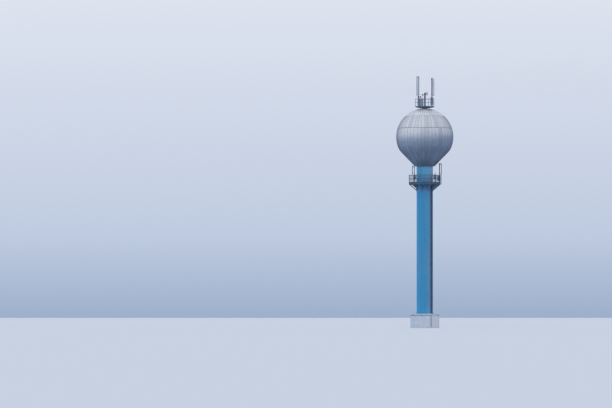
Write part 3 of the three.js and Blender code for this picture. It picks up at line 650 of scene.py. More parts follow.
for name, x, half_length, half_width, places in (
    ("balcony_mid_feet", RAIL_APOTHEM, 0.055, 0.034, around(8)[1:4] + around(8)[5:8]),
    ("balcony_stout_feet", RAIL_APOTHEM - 0.008, 0.078, 0.048, around(2)),
    ("balcony_corner_feet", RAIL_CORNER, 0.055, 0.036, around(8, 22.5)),
):
    foot = post_foot(x, DECK_TOP + SEAT_GAP, half_length, half_width)
    fit(repeat_part(name, foot, places), railing_paint, "railing_steel")
upright = round_bar("upright", (RAIL_APOTHEM, 0, 19.955), (RAIL_APOTHEM, 0, 20.91), 0.011, 8, 0.001)
half_side = RAIL_APOTHEM * math.tan(EIGHTH)
offsets = [side * half_side * (k + 1) / 9 for side in (-1, 1) for k in range(8)]
upright_places = [turn @ Matrix.Translation((0, offset, 0)) for turn in around(8) for offset in offsets]
fit(repeat_part("balcony_railing_uprights", upright, upright_places), railing_paint, "railing_steel")


# The tank is clad with mill-finish aluminium sheets, 48 round the ball, over insulation on welded plate.
# Each sheet bends one way only, so it lies flatter than the ball. Weathered aluminium is pale grey with
# a wide soft shine, each sheet with its own tone, and the crown is paler: washed by rain, and partly painted
# light against the platform's shade.
SHEETS_ROUND = 48
BALL_CENTRE = 26.16
BALL_RADIUS = 3.92
KNUCKLE_CENTRE = (1.6163, 25.5717)
KNUCKLE_RADIUS = 2.2
CONE_ANGLE = 44
FOOT_BORE = 1.0
FOOT_RADIUS = 1.37
FOOT_HEIGHT = 22.15
FOOT_INSIDE = 22.18
CROWN_HOLE = 0.3605
SHEET_INSET = 0.008
WALL = 0.11
SEAM_HEIGHTS = (24.05, 24.82, 27.34, 29.02)
BOWL_LATITUDE = -20
BELT_LATITUDE, SHOULDER_LATITUDE = (
    math.degrees(math.asin((seam - BALL_CENTRE) / BALL_RADIUS)) for seam in SEAM_HEIGHTS[2:]
)
CROWN_LATITUDE = math.degrees(math.acos(CROWN_HOLE / (BALL_RADIUS - SHEET_INSET)))


def arc(centre, radius, first, last, steps):
    """Points on an arc about a centre between two angles in degrees."""
    angles = [math.radians(first + (last - first) * k / steps) for k in range(steps + 1)]
    return [(centre[0] + radius * math.cos(a), centre[1] + radius * math.sin(a)) for a in angles]


def knuckle_section(depth, steps):
    """The rounded shoulder between the cone and the ball, at a depth inside the outer face."""
    return arc(KNUCKLE_CENTRE, KNUCKLE_RADIUS - depth, -CONE_ANGLE, BOWL_LATITUDE, steps)


def ball_section(depth, first, last, steps):
    """The ball's arc between two latitudes in degrees, at a depth inside the outer face."""
    return arc((0, BALL_CENTRE), BALL_RADIUS - depth, first, last, steps)


def cone_section(depth, bottom=FOOT_HEIGHT):
    """The cone's line at a depth inside the outer face, from its foot to the knuckle."""
    slope = math.radians(CONE_ANGLE)
    foot = FOOT_RADIUS + (bottom - FOOT_HEIGHT) * math.tan(slope) - depth / math.cos(slope)
    return [(foot, bottom)] + knuckle_section(depth, 1)[:1]


def mill_aluminium(name, dull, bright, edge_colour, rough_from, rough_to, metal=1.0):
    """Weathered mill-finish aluminium, each sheet with a tone of its own."""
    finish, place = start_finish(name)
    sides = add_node(finish, "SeparateXYZ", {0: place}).node.outputs
    turn = add_node(finish, "Math", {0: sides["Y"], 1: sides["X"]}, operation="ARCTAN2")
    sheet = add_node(finish, "Math", {0: turn, 1: SHEETS_ROUND / math.tau}, operation="MULTIPLY")
    number = add_node(finish, "Math", {0: sheet}, operation="FLOOR")
    for seam in SEAM_HEIGHTS:
        above = add_node(finish, "Math", {0: sides["Z"], 1: seam}, operation="GREATER_THAN")
        # A step of 117.3 gives each course numbers of its own
        number = add_node(finish, "Math", {0: above, 1: 117.3, 2: number}, operation="MULTIPLY_ADD")
    tone = add_node(finish, "TexWhiteNoise", {"W": number}, noise_dimensions="1D")
    base = stain(finish, dull, tone, 1.0, bright)
    dust = weather_marks(finish, place, 160, 9, low=0.5, high=0.85)
    # Sheets dent and belly over about half a metre between their fixings
    dents = weather_marks(finish, place, 500, detail=2)
    return complete(finish, {
        "Base Color": stain(finish, base, dust, 0.25, "a2a8b2"), "Metallic": metal,
        "Specular Tint": edge_colour,
        "Roughness": add_node(finish, "MapRange", {"Value": tone, "To Min": rough_from, "To Max": rough_to}),
        "Normal": add_node(finish, "Bump", {"Height": dents, "Distance": 0.006}),
    })


aluminium = mill_aluminium("weathered_mill_aluminium", "cdd1d8", "e2e4e9", "a0a6b0", 0.45, 0.37)
# On the crown the oxide is thick and chalky, so that part of its light is scattered
# The crown's paler colour is partly painted light, lifting the platform's shade on the crown
washed_and_lit_aluminium = mill_aluminium(
    "chalky_oxidised_mill_aluminium", "dde3ea", "f0f3f7", "ffffff", 0.5, 0.42, metal=0.35,
)
# Of each course: the outer and the inner line of its section
clad_courses = {
    "tank_cone": (
        [(FOOT_BORE, FOOT_HEIGHT)] + cone_section(SHEET_INSET),
        [(FOOT_BORE, FOOT_INSIDE)] + cone_section(WALL, FOOT_INSIDE),
    ),
    "tank_lower_bowl": (knuckle_section(SHEET_INSET, 9), knuckle_section(WALL, 3)),
}
for node, first, last, steps in (
    ("tank_belt", BOWL_LATITUDE, BELT_LATITUDE, 15), ("tank_shoulder", BELT_LATITUDE, SHOULDER_LATITUDE, 12),
    ("tank_crown", SHOULDER_LATITUDE, CROWN_LATITUDE, 14),
):
    clad_courses[node] = (ball_section(SHEET_INSET, first, last, steps), ball_section(WALL, first, last, 4))
# The middle of each sheet lies halfway between the ball and the flat chord
FLATTER = 1 - (1 - math.cos(math.pi / SHEETS_ROUND)) / 2
for node, (outside, inside) in clad_courses.items():
    course = turned_piece(node + "_sheets", outside + inside[::-1], 2 * SHEETS_ROUND)
    choose(course, "VERT", lambda corner: (
        round(math.atan2(corner.co.y, corner.co.x) / math.pi * SHEETS_ROUND) % 2 == 1
    ))
    bpy.ops.transform.resize(value=(FLATTER, FLATTER, 1), center_override=(0, 0, 0))
    bpy.ops.object.mode_set(mode="OBJECT")
    course_finish = washed_and_lit_aluminium if node == "tank_crown" else aluminium
    # A sheet's own bends turn by less than this angle, and its seams by more
    fit(course, course_finish, "tank_cladding", node, smooth=3.2)


# The sheets lap at upright seams under cover strips, and at level seams under bands, all fixed by screws.
# Strips and bands are the same aluminium, duller from the dirt that they hold.
STRIP_HALF = 0.017
STRIP_TOP_LATITUDE = 78
SCREW_PITCH = 0.22
BAND_FACE = 0.0045
BAND_BACK = 0.014


def along(section, spacing):
    """Points at an even spacing along a section, each with the outward direction there."""
    found, travelled, due = [], 0.0, spacing / 2
    for (r0, z0), (r1, z1) in zip(section, section[1:]):
        length = math.hypot(r1 - r0, z1 - z0)
        while travelled + length >= due:
            share = (due - travelled) / length
            spot = Vector((r0 + (r1 - r0) * share, 0, z0 + (z1 - z0) * share))
            found.append((spot, Vector((z1 - z0, 0, r0 - r1)).normalized()))
            due += spacing
        travelled += length
    return found


strip_aluminium = mottled(
    "dirty_aluminium_strip", {"Metallic": 1.0, "Roughness": 0.5, "Specular Tint": "a0a6b0"},
    "b4bac4", "9aa1ac", 1.0, 90, 6,
)
strip_line = cone_section(SHEET_INSET, 22.16)[:1] + knuckle_section(SHEET_INSET, 9)
strip_line += clad_courses["tank_belt"][0][1:] + clad_courses["tank_shoulder"][0][1:]
strip_line += ball_section(SHEET_INSET, SHOULDER_LATITUDE, STRIP_TOP_LATITUDE, 12)[1:]
strip = drawn_line("strip", strip_line, y=-STRIP_HALF)
bpy.ops.mesh.extrude_edges_move(TRANSFORM_OT_translate={"value": (0, 2 * STRIP_HALF, 0)})
bpy.ops.object.mode_set(mode="OBJECT")
apply_modifier(strip, "SOLIDIFY", thickness=0.006, offset=0)
edit_all(bpy.ops.mesh.normals_make_consistent, inside=False)
fit(repeat_part("upright_cover_strips", strip, around(SHEETS_ROUND)), strip_aluminium, "tank_cladding")

bands = []
for name, latitude, half_width in (
    ("bowl_cover_band", BOWL_LATITUDE, 0.025), ("belt_cover_band", BELT_LATITUDE, 0.045),
    ("crown_cover_band", SHOULDER_LATITUDE, 0.03),
):
    spread = math.degrees(half_width / BALL_RADIUS)
    outer, inner = (
        ball_section(depth, latitude - spread, latitude + spread, 2) for depth in (BAND_FACE, BAND_BACK)
    )
    bands.append(turned_piece(name, outer + inner[::-1], 2 * SHEETS_ROUND))
# Rain washes the crown's band nearly as bright as its sheets
washed_strip = mill_aluminium("chalky_aluminium_strip", "b6bec8", "c4cbd4", "ffffff", 0.5, 0.42, metal=0.35)
fit(bands.pop(), washed_strip, "tank_cladding")
fit(bands.pop(), strip_aluminium, "tank_cladding")
cone_top = Vector((3.1931, 24.0490))
slope = math.radians(CONE_ANGLE)
cone_out, cone_run = Vector((math.cos(slope), -math.sin(slope))), Vector((math.sin(slope), math.cos(slope)))
cone_line = [
    cone_top + cone_run * side * 0.025 + cone_out * rise
    for side, rise in ((-1, -0.006), (-1, 0.003), (1, 0.003), (1, -0.006))
]
bands.append(turned_piece("cone_cover_band", cone_line, 2 * SHEETS_ROUND))
# Sheltered below the belt, the lower bands keep the sheets' own tone
fit(join_parts("lower_cover_bands", bands), aluminium, "tank_cladding")

screw = round_bar("screw", (0, 0, 0), (0, 0, 0.0035), 0.009, 6, 0.0015)
screw_places = []
for spot, outward in along(strip_line, SCREW_PITCH):
    turned_out = outward.to_track_quat("Z", "Y").to_matrix().to_4x4()
    screw_places.append(Matrix.Translation(spot + outward * 0.0025) @ turned_out)
screws = repeat_part("strip_screws", repeat_part("strip_screws", screw, screw_places), around(SHEETS_ROUND))
fit(screws, rusty_bolts, "tank_cladding")


# The hatch is a galvanised steel neck through the crown, with a domed lid on a hinge and a lifting bar.
# Its zinc is dull and a little dirty.
hatch_zinc = dull_zinc("dull_galvanised_hatch", "98a2b0", "6c7887")
neck_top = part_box("hatch_neck")[1][2]
neck_wall = [(0.35, 29.893), (0.36, 29.893), (0.36, neck_top), (0.35, neck_top)]
fit(turned_piece("hatch_neck_tube", neck_wall), hatch_zinc, "hatch_steel", "hatch_neck")
hatch_lid = join_parts("hatch_lid_dressed", [
    turned_piece("hatch_lid", [
        (0.0, 0.0005), (0.398, 0.0005), (0.4, 0.003), (0.4, 0.048), (0.396, 0.052), (0.33, 0.066),
        (0.24, 0.081), (0.12, 0.092), (0.0, 0.096),
    ], closed=False),
    round_bar("lifting_bar", (-0.07, -0.2, 0.102), (0.07, -0.2, 0.102), 0.007),
    round_bar("bar_end", (-0.065, -0.2, 0.075), (-0.065, -0.2, 0.105), 0.007),
    round_bar("bar_end", (0.065, -0.2, 0.075), (0.065, -0.2, 0.105), 0.007),
    round_bar("lid_hinge", (-0.09, 0.392, 0.026), (0.09, 0.392, 0.026), 0.012),
], Matrix.Translation((0, 0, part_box("hatch_cover")[0][2])))
fit(hatch_lid, hatch_zinc, "hatch_steel", "hatch_cover")


# The roof platform is a ring of cantilever brackets welded to the hatch neck's collar. Its deck is welded
# steel grating: bearing bars 34 mm apart with cross bars every 100 mm, banded at its edges, dull grey
# from old galvanising and dirt. Its frame and railing are painted a paler grey than the balcony's.
PLATFORM_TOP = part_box("platform_deck")[1][2]
PLATFORM_SEAT = PLATFORM_TOP + SEAT_GAP


def deck_grating(name, apothem, hole, top, depth):
    """Eight-sided grating with a round hole, its bearing bars along X."""
    def bars(bar, pitch, turned):
        count = int((apothem - 0.01) / pitch)
        places = []
        for k in range(-count, count + 1):
            offset = k * pitch
            reach = min(apothem, apothem * (1 + math.tan(EIGHTH)) - abs(offset)) - 0.004
            gap = math.sqrt(max(hole ** 2 - offset ** 2, 0))
            for start, end in ((-reach, -gap), (gap, reach)) if gap else ((-reach, reach),):
                shift = Matrix.Translation(((start + end) / 2, offset, 0))
                places.append(turned @ shift @ Matrix.Diagonal((end - start, 1, 1, 1)))
        return repeat_part("bars", bar, places)

    bearing = edged_block("bearing_bar", (-0.5, -0.002, top - depth), (0.5, 0.002, top), 0.0008)
    cross = edged_block("cross_bar", (-0.5, -0.003, top - 0.012), (0.5, 0.003, top - 0.003), 0.001)
    parts = [bars(bearing, 0.034, turn_by(0)), bars(cross, 0.1, turn_by(90))]
    for sides, radius, first in ((8, apothem / math.cos(EIGHTH), EIGHTH), (64, hole + 0.006, 0.0)):
        band = start_piece(
            "edge_band", bpy.ops.mesh.primitive_circle_add, vertices=sides, radius=radius,
            location=(0, 0, top), rotation=(0, 0, first),
        )
        edit_all(bpy.ops.mesh.extrude_edges_move, TRANSFORM_OT_translate={"value": (0, 0, -depth)})
        edit_all(bpy.ops.mesh.normals_make_consistent, inside=False)
        apply_modifier(band, "SOLIDIFY", thickness=0.006, offset=-1)
        parts.append(band)
    return join_parts(name, parts)


platform_paint = dull_frame_paint("bleached_platform_paint", "8396aa", "9cacbe", rust=0.25)
nodes["platform_frame"].data.materials[0] = platform_paint
nodes["platform_railing"].data.materials[0] = platform_paint
grating_zinc = dull_zinc("dull_galvanised_grating", "9aa6b4", "7a8796")
platform_grating = deck_grating("platform_grating", 1.3, 0.366, PLATFORM_TOP, 0.04)
fit(platform_grating, grating_zinc, "deck_steel", "platform_deck")
platform_foot = post_foot(1.26 / math.cos(EIGHTH) - 0.004, PLATFORM_SEAT, 0.05, 0.034)
fit(repeat_part("platform_post_feet", platform_foot, around(8, 22.5)), platform_paint, "railing_steel")


# The sector aerials are upright steel pipes on foot plates, galvanised or painted, each with a flat panel
# clamped to it. A radome is moulded grey glass fibre with a lid at each end, and chalks to a soft matt.
def radome_glass_fibre(name, chalked, main):
    """Moulded glass fibre with a chalked surface and dirt streaks of about 30 mm."""
    finish, place = start_finish(name)
    base = stain(finish, chalked, weather_marks(finish, place, 300, 3), 1.0, main)
    streaks = weather_marks(finish, place, 30, 12, low=0.5, high=0.8)
    return complete(finish, {"Base Color": stain(finish, base, streaks, 0.2, "939eaa"), "Roughness": 0.5})


def square_foot(x, y, deck, half, bolt_inset=0.014, bolt_size=0.008):
    """A pipe's square foot plate on a deck, with a bolt at each corner."""
    reach = half - bolt_inset
    plate_low = (x - half, y - half, deck + SEAT_GAP)
    return [edged_block("foot_plate", plate_low, (x + half, y + half, deck + 0.015), 0.003)] + [
        bolt("foot_bolt", (x + x_side * reach, y + y_side * reach, deck + 0.015), bolt_size)
        for x_side in (-1, 1) for y_side in (-1, 1)
    ]


def stand_at(spot, facing):
    """The place of something that stands at a spot and faces by an angle in degrees."""
    return Matrix.Translation((*spot, 0)) @ turn_by(facing)


pipe_zinc = dull_zinc("dull_galvanised_pipe", "8f9fb4", "66768c")
pipe_paint = dull_frame_paint("dark_pipe_paint", "1c2731", "2a3540")
roof_pipe_paint = dull_frame_paint("dark_blue_roof_pipe_paint", "0a3a64", "184a74", rust=0.05)
white_radome = radome_glass_fibre("white_glass_fibre", "eef2f6", "fafbfc")
light_radome = radome_glass_fibre("light_grey_glass_fibre", "dce3eb", "ecf0f5")
grey_radome = radome_glass_fibre("mid_grey_glass_fibre", "8e9aa8", "a0acb9")
LEFT_SPOT = (-1.41, -1.395)
# Of each aerial: the pipe's finish, radius, spot, facing, foot and top, then the panel's finish, lowest
# and highest point, depth and width, and the clamps' reach
for (name, pipe_finish, radius, spot, facing, foot, pipe_top,
     panel_finish, low, high, depth, width, clamp_reach) in (
    ("platform_left_aerial", pipe_zinc, 0.057, (-0.815, -0.75), 210, PLATFORM_TOP, 34.43,
     light_radome, 31.8, 34.48, 0.12, 0.26, 0.15),
    ("platform_right_aerial", roof_pipe_paint, 0.07, (0.986, -0.52), -25, PLATFORM_TOP, 34.25,
     white_radome, 31.8, 34.15, 0.16, 0.30, 0.09),
    ("balcony_left_aerial", pipe_zinc, 0.045, LEFT_SPOT, 180, DECK_TOP, 22.2,
     grey_radome, 20.98, 22.15, 0.1, 0.26, 0.18),
    ("balcony_right_aerial", pipe_paint, 0.057, (2.025, -0.35), 0, DECK_TOP, 22.56,
     grey_radome, 20.98, 22.52, 0.1, 0.26, 0.143),
):
    stand = stand_at(spot, facing)
    pipe_parts = [
        round_bar("pipe", (0, 0, foot + SEAT_GAP), (0, 0, pipe_top - 0.006), radius, 32),
        round_bar("pipe_cap", (0, 0, pipe_top - 0.03), (0, 0, pipe_top), radius + 0.0002, 32, 0.006),
    ] + square_foot(0, 0, foot, radius + 0.025)
    fit(join_parts(name + "_pipe_dressed", pipe_parts, stand), pipe_finish, "pipe_steel", name + "_pipe")

    near = radius + clamp_reach
    half = width / 2
    panel = edged_block("radome", (near, -half, low + 0.012), (near + depth, half, high - 0.012), 0.004)
    choose(panel, "FACE", lambda face: face.normal.x > 0.99)
    bpy.ops.mesh.bevel(offset=0.028, segments=4, affect="EDGES")
    bpy.ops.object.mode_set(mode="OBJECT")
    panel_parts = [panel]
    for z in (low + 0.0025, high - 0.0205):
        lid_high = (near + depth - 0.012, half - 0.004, z + 0.018)
        panel_parts.append(edged_block("radome_lid", (near + 0.002, -half + 0.004, z), lid_high, 0.005))
    fit(join_parts(name + "_radome", panel_parts, stand), panel_finish, "panel_radome", name + "_panel")

    clamp_parts = []
    for z in (low + 0.18, high - 0.17):
        for part, x_low, x_high, y_low, y_high, half_height, edge in (
            ("left_arm", radius + 0.001, near + 0.001, -0.035, -0.027, 0.025, 0.001),
            ("right_arm", radius + 0.001, near + 0.001, 0.027, 0.035, 0.025, 0.001),
            ("near_jaw", radius - 0.002, radius + 0.012, -0.075, 0.075, 0.03, 0.003),
            ("far_jaw", -radius - 0.012, 0.002 - radius, -0.075, 0.075, 0.03, 0.003),
            ("clamp_back", near - 0.012, near + 0.001, -0.05, 0.05, 0.04, 0.002),
        ):
            part_high = (x_high, y_high, z + half_height)
            clamp_parts.append(edged_block(part, (x_low, y_low, z - half_height), part_high, edge))
        for y in (-0.067, 0.067):
            clamp_parts.append(round_bar("rod", (-radius - 0.02, y, z), (radius + 0.02, y, z), 0.006, 12))
    if foot == DECK_TOP:
        z = pipe_top - 0.07
        clamp_parts.append(round_bar("top_tie", (0, 0, z), (near + 0.03, 0, z), 0.04, 24))
        for x in (radius - 0.01, near - 0.012):
            clamp_parts.append(round_bar("tie_collar", (x, 0, z), (x + 0.022, 0, z), 0.052, 24))
    plug_x = near + depth * 0.45
    for y in (-0.09, -0.045, 0.0, 0.045, 0.09):
        clamp_parts.append(round_bar("plug", (plug_x, y, low - 0.035), (plug_x, y, low + 0.004), 0.014, 12))
    fit(join_parts(name + "_clamps", clamp_parts, stand), pipe_finish, "pipe_steel")


# The right balcony aerial's feeders leave it in a galvanised conduit, clamped to the railing and bent in
# below the deck's edge.
CONDUIT_X = 2.27
CONDUIT_Y = -0.35
bend = Vector((CONDUIT_X, CONDUIT_Y, 19.7))
conduit_parts = [
    round_bar("conduit", bend, (CONDUIT_X, CONDUIT_Y, 20.94), 0.03, 24),
    round_bar("conduit_gland", (CONDUIT_X, CONDUIT_Y, 20.9), (CONDUIT_X, CONDUIT_Y, 20.95), 0.038, 24, 0.006),
    round_bar("conduit_end", bend, (2.152, CONDUIT_Y, bend.z), 0.03, 24),
    start_piece(
        "elbow", bpy.ops.mesh.primitive_uv_sphere_add, segments=24, ring_count=12, radius=0.03,
        location=bend,
    ),
]
for z in (20.405, 20.911):
    arm_high = (CONDUIT_X, CONDUIT_Y + 0.018, z + 0.026)
    conduit_parts += [
        edged_block("conduit_arm", (2.148, CONDUIT_Y - 0.018, z), arm_high, 0.002),
        round_bar("conduit_ring", (CONDUIT_X, CONDUIT_Y, z), (CONDUIT_X, CONDUIT_Y, z + 0.026), 0.036, 24),
    ]
fit(join_parts("balcony_right_conduit", conduit_parts), pipe_zinc, "pipe_steel")


# The radio units are die-cast aluminium housings with cooling fins at the back, in grey powder coat, with
# plugs below. Two of them are pale broad ones with darker end caps, and one of these has its own stand.
FIN_DEPTH = 0.03
FIN_PITCH = 0.0196


def radio_unit(low, high, fins_to):
    """The parts of a radio between two corners, with fins on the side that fins_to points to."""
    core_low, core_high = Vector(low) + Vector((0, 0, 0.03)), Vector(high)
    axis = 0 if abs(fins_to[0]) > 0.5 else 1
    across = 1 - axis
    fin_low, fin_high = Vector(low), Vector(high)
    fin_low.z += 0.05
    fin_high.z -= 0.02
    if fins_to[axis] < 0:
        core_low[axis] += FIN_DEPTH
        fin_high[axis] = core_low[axis] + 0.002
    else:
        core_high[axis] -= FIN_DEPTH
        fin_low[axis] = core_high[axis] - 0.002
    fin_low[across] += 0.006
    fin_high[across] = fin_low[across] + 0.004
    count = int((high[across] - low[across] - 0.012) / FIN_PITCH) + 1
    step = Vector((0, 0, 0))
    step[across] = FIN_PITCH
    fin = edged_block("fin", fin_low, fin_high, 0.001)
    parts = [
        edged_block("unit_core", core_low, core_high, 0.012),
        repeat_part("fins", fin, [Matrix.Translation(step * k) for k in range(count)]),
    ]
    middle = (core_low + core_high) / 2
    for k in range(-2, 3):
        plug_top = Vector((middle.x, middle.y, core_low.z + 0.002)) + step * k * 1.8
        parts.append(round_bar("plug", plug_top, plug_top - Vector((0, 0, 0.032)), 0.012, 12))
    return parts


housing_grey = dull_frame_paint("mid_grey_powder_coat", "b4c4d6", "c4d2e0", rust=0.0)
housing_pale = dull_frame_paint("pale_grey_powder_coat", "c2ccd8", "d2dae4", rust=0.0)
for node, finish, fins_to in (
    ("platform_radio_left", housing_grey, (0, -1)), ("platform_radio_right", housing_pale, (1, 0)),
    ("balcony_radio_left", housing_grey, (0, -1)), ("balcony_radio_back", housing_grey, (1, 0)),
):
    fit(join_parts(node + "_dressed", radio_unit(*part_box(node), fins_to)), finish, "radio_housing", node)

# The two broad ones hang beside a pipe: its place and the housing's middle from the pipe
own_stand = stand_at((1.41, -1.395), -45)
for node, stand, (x, y) in (
    ("balcony_radio_front", stand_at(LEFT_SPOT, 225), (-0.1288, -0.08)),
    ("balcony_radio_stand", own_stand, (-0.115, 0.08)),
):
    housing = radio_unit((x - 0.085, y - 0.23, 20.33), (x + 0.085, y + 0.23, 20.95), (-1, 0))
    fit(join_parts(node + "_housing", housing, stand), housing_pale, "radio_housing", node)
    caps = [
        edged_block("end_cap", (x - 0.04, y - 0.2302, z), (x + 0.0852, y + 0.2302, z + 0.07), 0.012)
        for z in (20.358, 20.8802)
    ]
    fit(join_parts(node + "_end_caps", caps, stand), housing_grey, "radio_housing")
stand_parts = [
    round_bar("stand_pipe", (0, 0, DECK_TOP + SEAT_GAP), (0, 0, 21.2), 0.045, 32, 0.006),
    edged_block("stand_clamp", (-0.052, -0.06, 20.5), (0.052, 0.06, 20.56), 0.004),
    edged_block("stand_clamp", (-0.052, -0.06, 20.74), (0.052, 0.06, 20.8), 0.004),
] + square_foot(0, 0, DECK_TOP, 0.07)
fit(join_parts("balcony_radio_stand_pipe", stand_parts, own_stand), pipe_zinc, "pipe_steel")


# The platform cabinet is folded sheet steel in blue grey enamel, with a rain roof, two doors with louvred
# panels and a plinth. Old enamel is smooth and half matt, with a little rust at its edges.
low, high = (Vector(corner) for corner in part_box("platform_cabinet"))


def cabinet_block(name, in_low, in_high, edge):
    """A block of the cabinet, given by how far it keeps inside the cabinet's two corners."""
    return edged_block(name, low + Vector(in_low), high - Vector(in_high), edge)


width, depth, height = high - low
door_side = width / 2 + 0.004
door_back = depth - 0.018
cabinet_parts = [
    cabinet_block("plinth", (0.03, 0.03, 0.0002), (0.03, 0.03, height - 0.08), 0.002),
    cabinet_block("body", (0.012, 0.016, 0.078), (0.012, 0.012, 0.03), 0.005),
    cabinet_block("rain_roof", (0, 0, height - 0.032), (0, 0, 0), 0.006),
    cabinet_block("left_door", (0.03, 0.004, 0.1), (door_side, door_back, 0.05), 0.003),
    cabinet_block("right_door", (door_side, 0.004, 0.1), (0.03, door_back, 0.05), 0.003),
]
for side in (-1, 1):
    handle_foot = Vector((low.x + width / 2 + side * 0.04, low.y + 0.002, low.z + 0.5))
    cabinet_parts.append(round_bar("handle", handle_foot, handle_foot + Vector((0, 0, 0.12)), 0.002, 12))
slat = cabinet_block("slat", (0.09, 0.0015, 0.16), (width / 2 + 0.06, depth - 0.006, height - 0.168), 0.001)
rises = (0, 0.02, 0.04, 0.06, 0.08, 0.7, 0.72, 0.74, 0.76, 0.78)
slat_places = [Matrix.Translation((shift, 0, rise)) for shift in (0, width / 2 - 0.03) for rise in rises]
cabinet_parts.append(repeat_part("louvres", slat, slat_places))
cabinet_enamel = dull_frame_paint("blue_grey_cabinet_enamel", "b4c2d6", "c4d0e0", rust=0.15)
platform_cabinet = join_parts("platform_cabinet_dressed", cabinet_parts)
fit(platform_cabinet, cabinet_enamel, "cabinet_paint", "platform_cabinet")


# The platform's middle mast is a painted pipe on a foot plate. It carries a small drum aerial whose
# radome is a stretched white cover on a spun aluminium shroud.
MAST_X = 0.03
MAST_Y = -0.7
mast_parts = square_foot(MAST_X, MAST_Y, PLATFORM_TOP, 0.12, 0.02, 0.011)
mast_foot = (MAST_X, MAST_Y, PLATFORM_SEAT)
mast_parts.append(round_bar("mast_pipe", mast_foot, (MAST_X, MAST_Y, 32.2), 0.1, 32, 0.006))
fit(join_parts("platform_mast_dressed", mast_parts), roof_pipe_paint, "mast_steel", "platform_mast")
drum_cover = mottled("white_drum_cover", {"Roughness": 0.55}, "dde3e9", "eef1f4", 1.0, 120)
drum = turned_piece("drum_aerial_dressed", [
    (0.0, 0.0), (0.11, 0.0), (0.12, 0.01), (0.235, 0.03), (0.26, 0.055), (0.26, 0.235), (0.256, 0.24),
    (0.256, 0.256), (0.25, 0.26), (0.19, 0.28), (0.1, 0.294), (0.0, 0.3),
], 64, closed=False)
drum.data.transform(Matrix.Translation((0.1303, MAST_Y, 32.14)) @ Matrix.Rotation(math.pi / 2, 4, "Y"))
fit(drum, drum_cover, "drum_radome", "drum_aerial")


# The warning lamps have ribbed red glass domes on cast grey bases, on thin galvanised stands.
# The glass is deep red and glossy where it is clean, and dulled by dust.
red_glass = mottled("ribbed_red_lamp_glass", {"Roughness": 0.3}, "94182e", "a83c4c", 0.5, 40)
base_section = [(0, 0), (0.082, 0), (0.085, 0.003), (0.085, 0.042), (0.11, 0.046), (0.11, 0.06), (0, 0.06)]
lens_section = [(0, 0.06), (0.1, 0.06)]
for k in range(8):
    lens_section += [(0.103, 0.064 + 0.01 * k), (0.098, 0.069 + 0.01 * k)]
lens_section += [(0.098, 0.15), (0.088, 0.178), (0.06, 0.206), (0.025, 0.22), (0, 0.224)]
bases, lenses = [], []
for spot in ((-0.87, -0.95, 31.51), (-0.57, -0.95, 31.51), (-0.27, -1.08, 31.795)):
    for made, name, section in ((bases, "lamp_base", base_section), (lenses, "lamp_lens", lens_section)):
        part = turned_piece(name, section, 32, closed=False)
        part.data.transform(Matrix.Translation(spot))
        made.append(part)
stands = []
for x, y, top in ((-0.72, -0.95, 31.49), (-0.27, -1.08, 31.798)):
    foot_high = (x + 0.04, y + 0.04, PLATFORM_TOP + 0.012)
    stands.append([
        round_bar("lamp_post", (x, y, PLATFORM_SEAT), (x, y, top), 0.02, 16),
        edged_block("lamp_foot", (x - 0.04, y - 0.04, PLATFORM_SEAT), foot_high, 0.002),
    ])
arm = edged_block("lamp_arm", (-0.91, -0.975, 31.485), (-0.53, -0.925, 31.5105), 0.003)
twin_stand, single_stand = stands[0] + [arm] + bases[:2], stands[1] + bases[2:]
fit(join_parts("twin_lamp_stand", twin_stand), pipe_zinc, "lamp_red", "twin_warning_lamp")
fit(join_parts("single_lamp_stand", single_stand), pipe_zinc, "lamp_red", "single_warning_lamp")
fit(join_parts("twin_lamp_glasses", lenses[:2]), red_glass, "lamp_red")
fit(lenses[2], red_glass, "lamp_red")


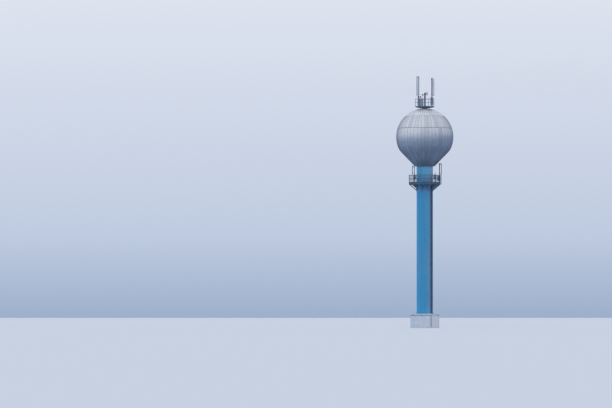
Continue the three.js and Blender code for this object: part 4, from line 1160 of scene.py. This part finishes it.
# The view is a long lens from far across the fields, near the ground, with the tower right of the middle.
# The light is a soft dome, pale above and dull below, with the dull part higher on the right.
PIXELS_PER_METRE = 7.3
LENS_MM = 300
SENSOR_MM = 36
PHOTO_WIDTH = 612
PHOTO_HEIGHT = 408
TOWER_AXIS_PX = 424.8
GROUND_PX = 328
EYE_HEIGHT = 1.7
sky = bpy.data.worlds.new("winter_sky")
sky.use_nodes = True
sky.node_tree.nodes.clear()
bpy.context.scene.world = sky
ways = add_node(sky, "SeparateXYZ", {0: add_node(sky, "TexCoord", out="Generated")}).node.outputs
rise = add_node(sky, "MapRange", {
    "Value": ways["X"], "From Min": 0.15, "From Max": 0.95, "To Min": 0.0, "To Max": 0.12,
})
above_land = add_node(sky, "Math", {0: ways["Z"], 1: rise}, operation="SUBTRACT")
level = add_node(sky, "MapRange", {"Value": above_land, "From Min": -1.0, "From Max": 1.0})
sky_colours = add_node(sky, "ValToRGB", {0: level}, stops=(
    (0.0, "677a96"), (0.35, "798dab"), (0.485, "8a9dba"), (0.5, "9db0cb"), (0.508, "bfcbe0"),
    (0.531, "dde3ef"), (0.57, "ccd4e4"), (0.68, "dde2ee"), (0.8, "e8ecf5"), (1.0, "e4e8f1"),
))
from_left = add_node(sky, "MapRange", {
    "Value": ways["X"], "From Min": -1.0, "From Max": 1.0, "To Min": 1.06, "To Max": 0.94,
})
shine = add_node(sky, "Background", {"Color": sky_colours, "Strength": from_left})
add_node(sky, "OutputWorld", {"Surface": shine})

floor = start_piece("pale_floor", bpy.ops.mesh.primitive_plane_add, size=6000)
floor_finish = complete(start_finish("pale_plain_floor")[0], {"Base Color": "dfe5ee", "Roughness": 0.9})
floor.data.materials.append(floor_finish)
floor.visible_diffuse = False
floor.visible_glossy = False

eye = Vector((0, -PHOTO_WIDTH * LENS_MM / SENSOR_MM / PIXELS_PER_METRE, EYE_HEIGHT))
target = Vector((PHOTO_WIDTH / 2 - TOWER_AXIS_PX, 0, GROUND_PX - PHOTO_HEIGHT / 2)) / PIXELS_PER_METRE
select_only()
bpy.ops.object.camera_add(location=eye, rotation=(target - eye).to_track_quat("-Z", "Y").to_euler())
camera = bpy.context.object
camera.data.lens = LENS_MM
camera.data.sensor_width = SENSOR_MM
camera.data.clip_start = 1
camera.data.clip_end = 4000
bpy.context.scene.camera = camera
bpy.context.scene.view_settings.view_transform = "Standard"
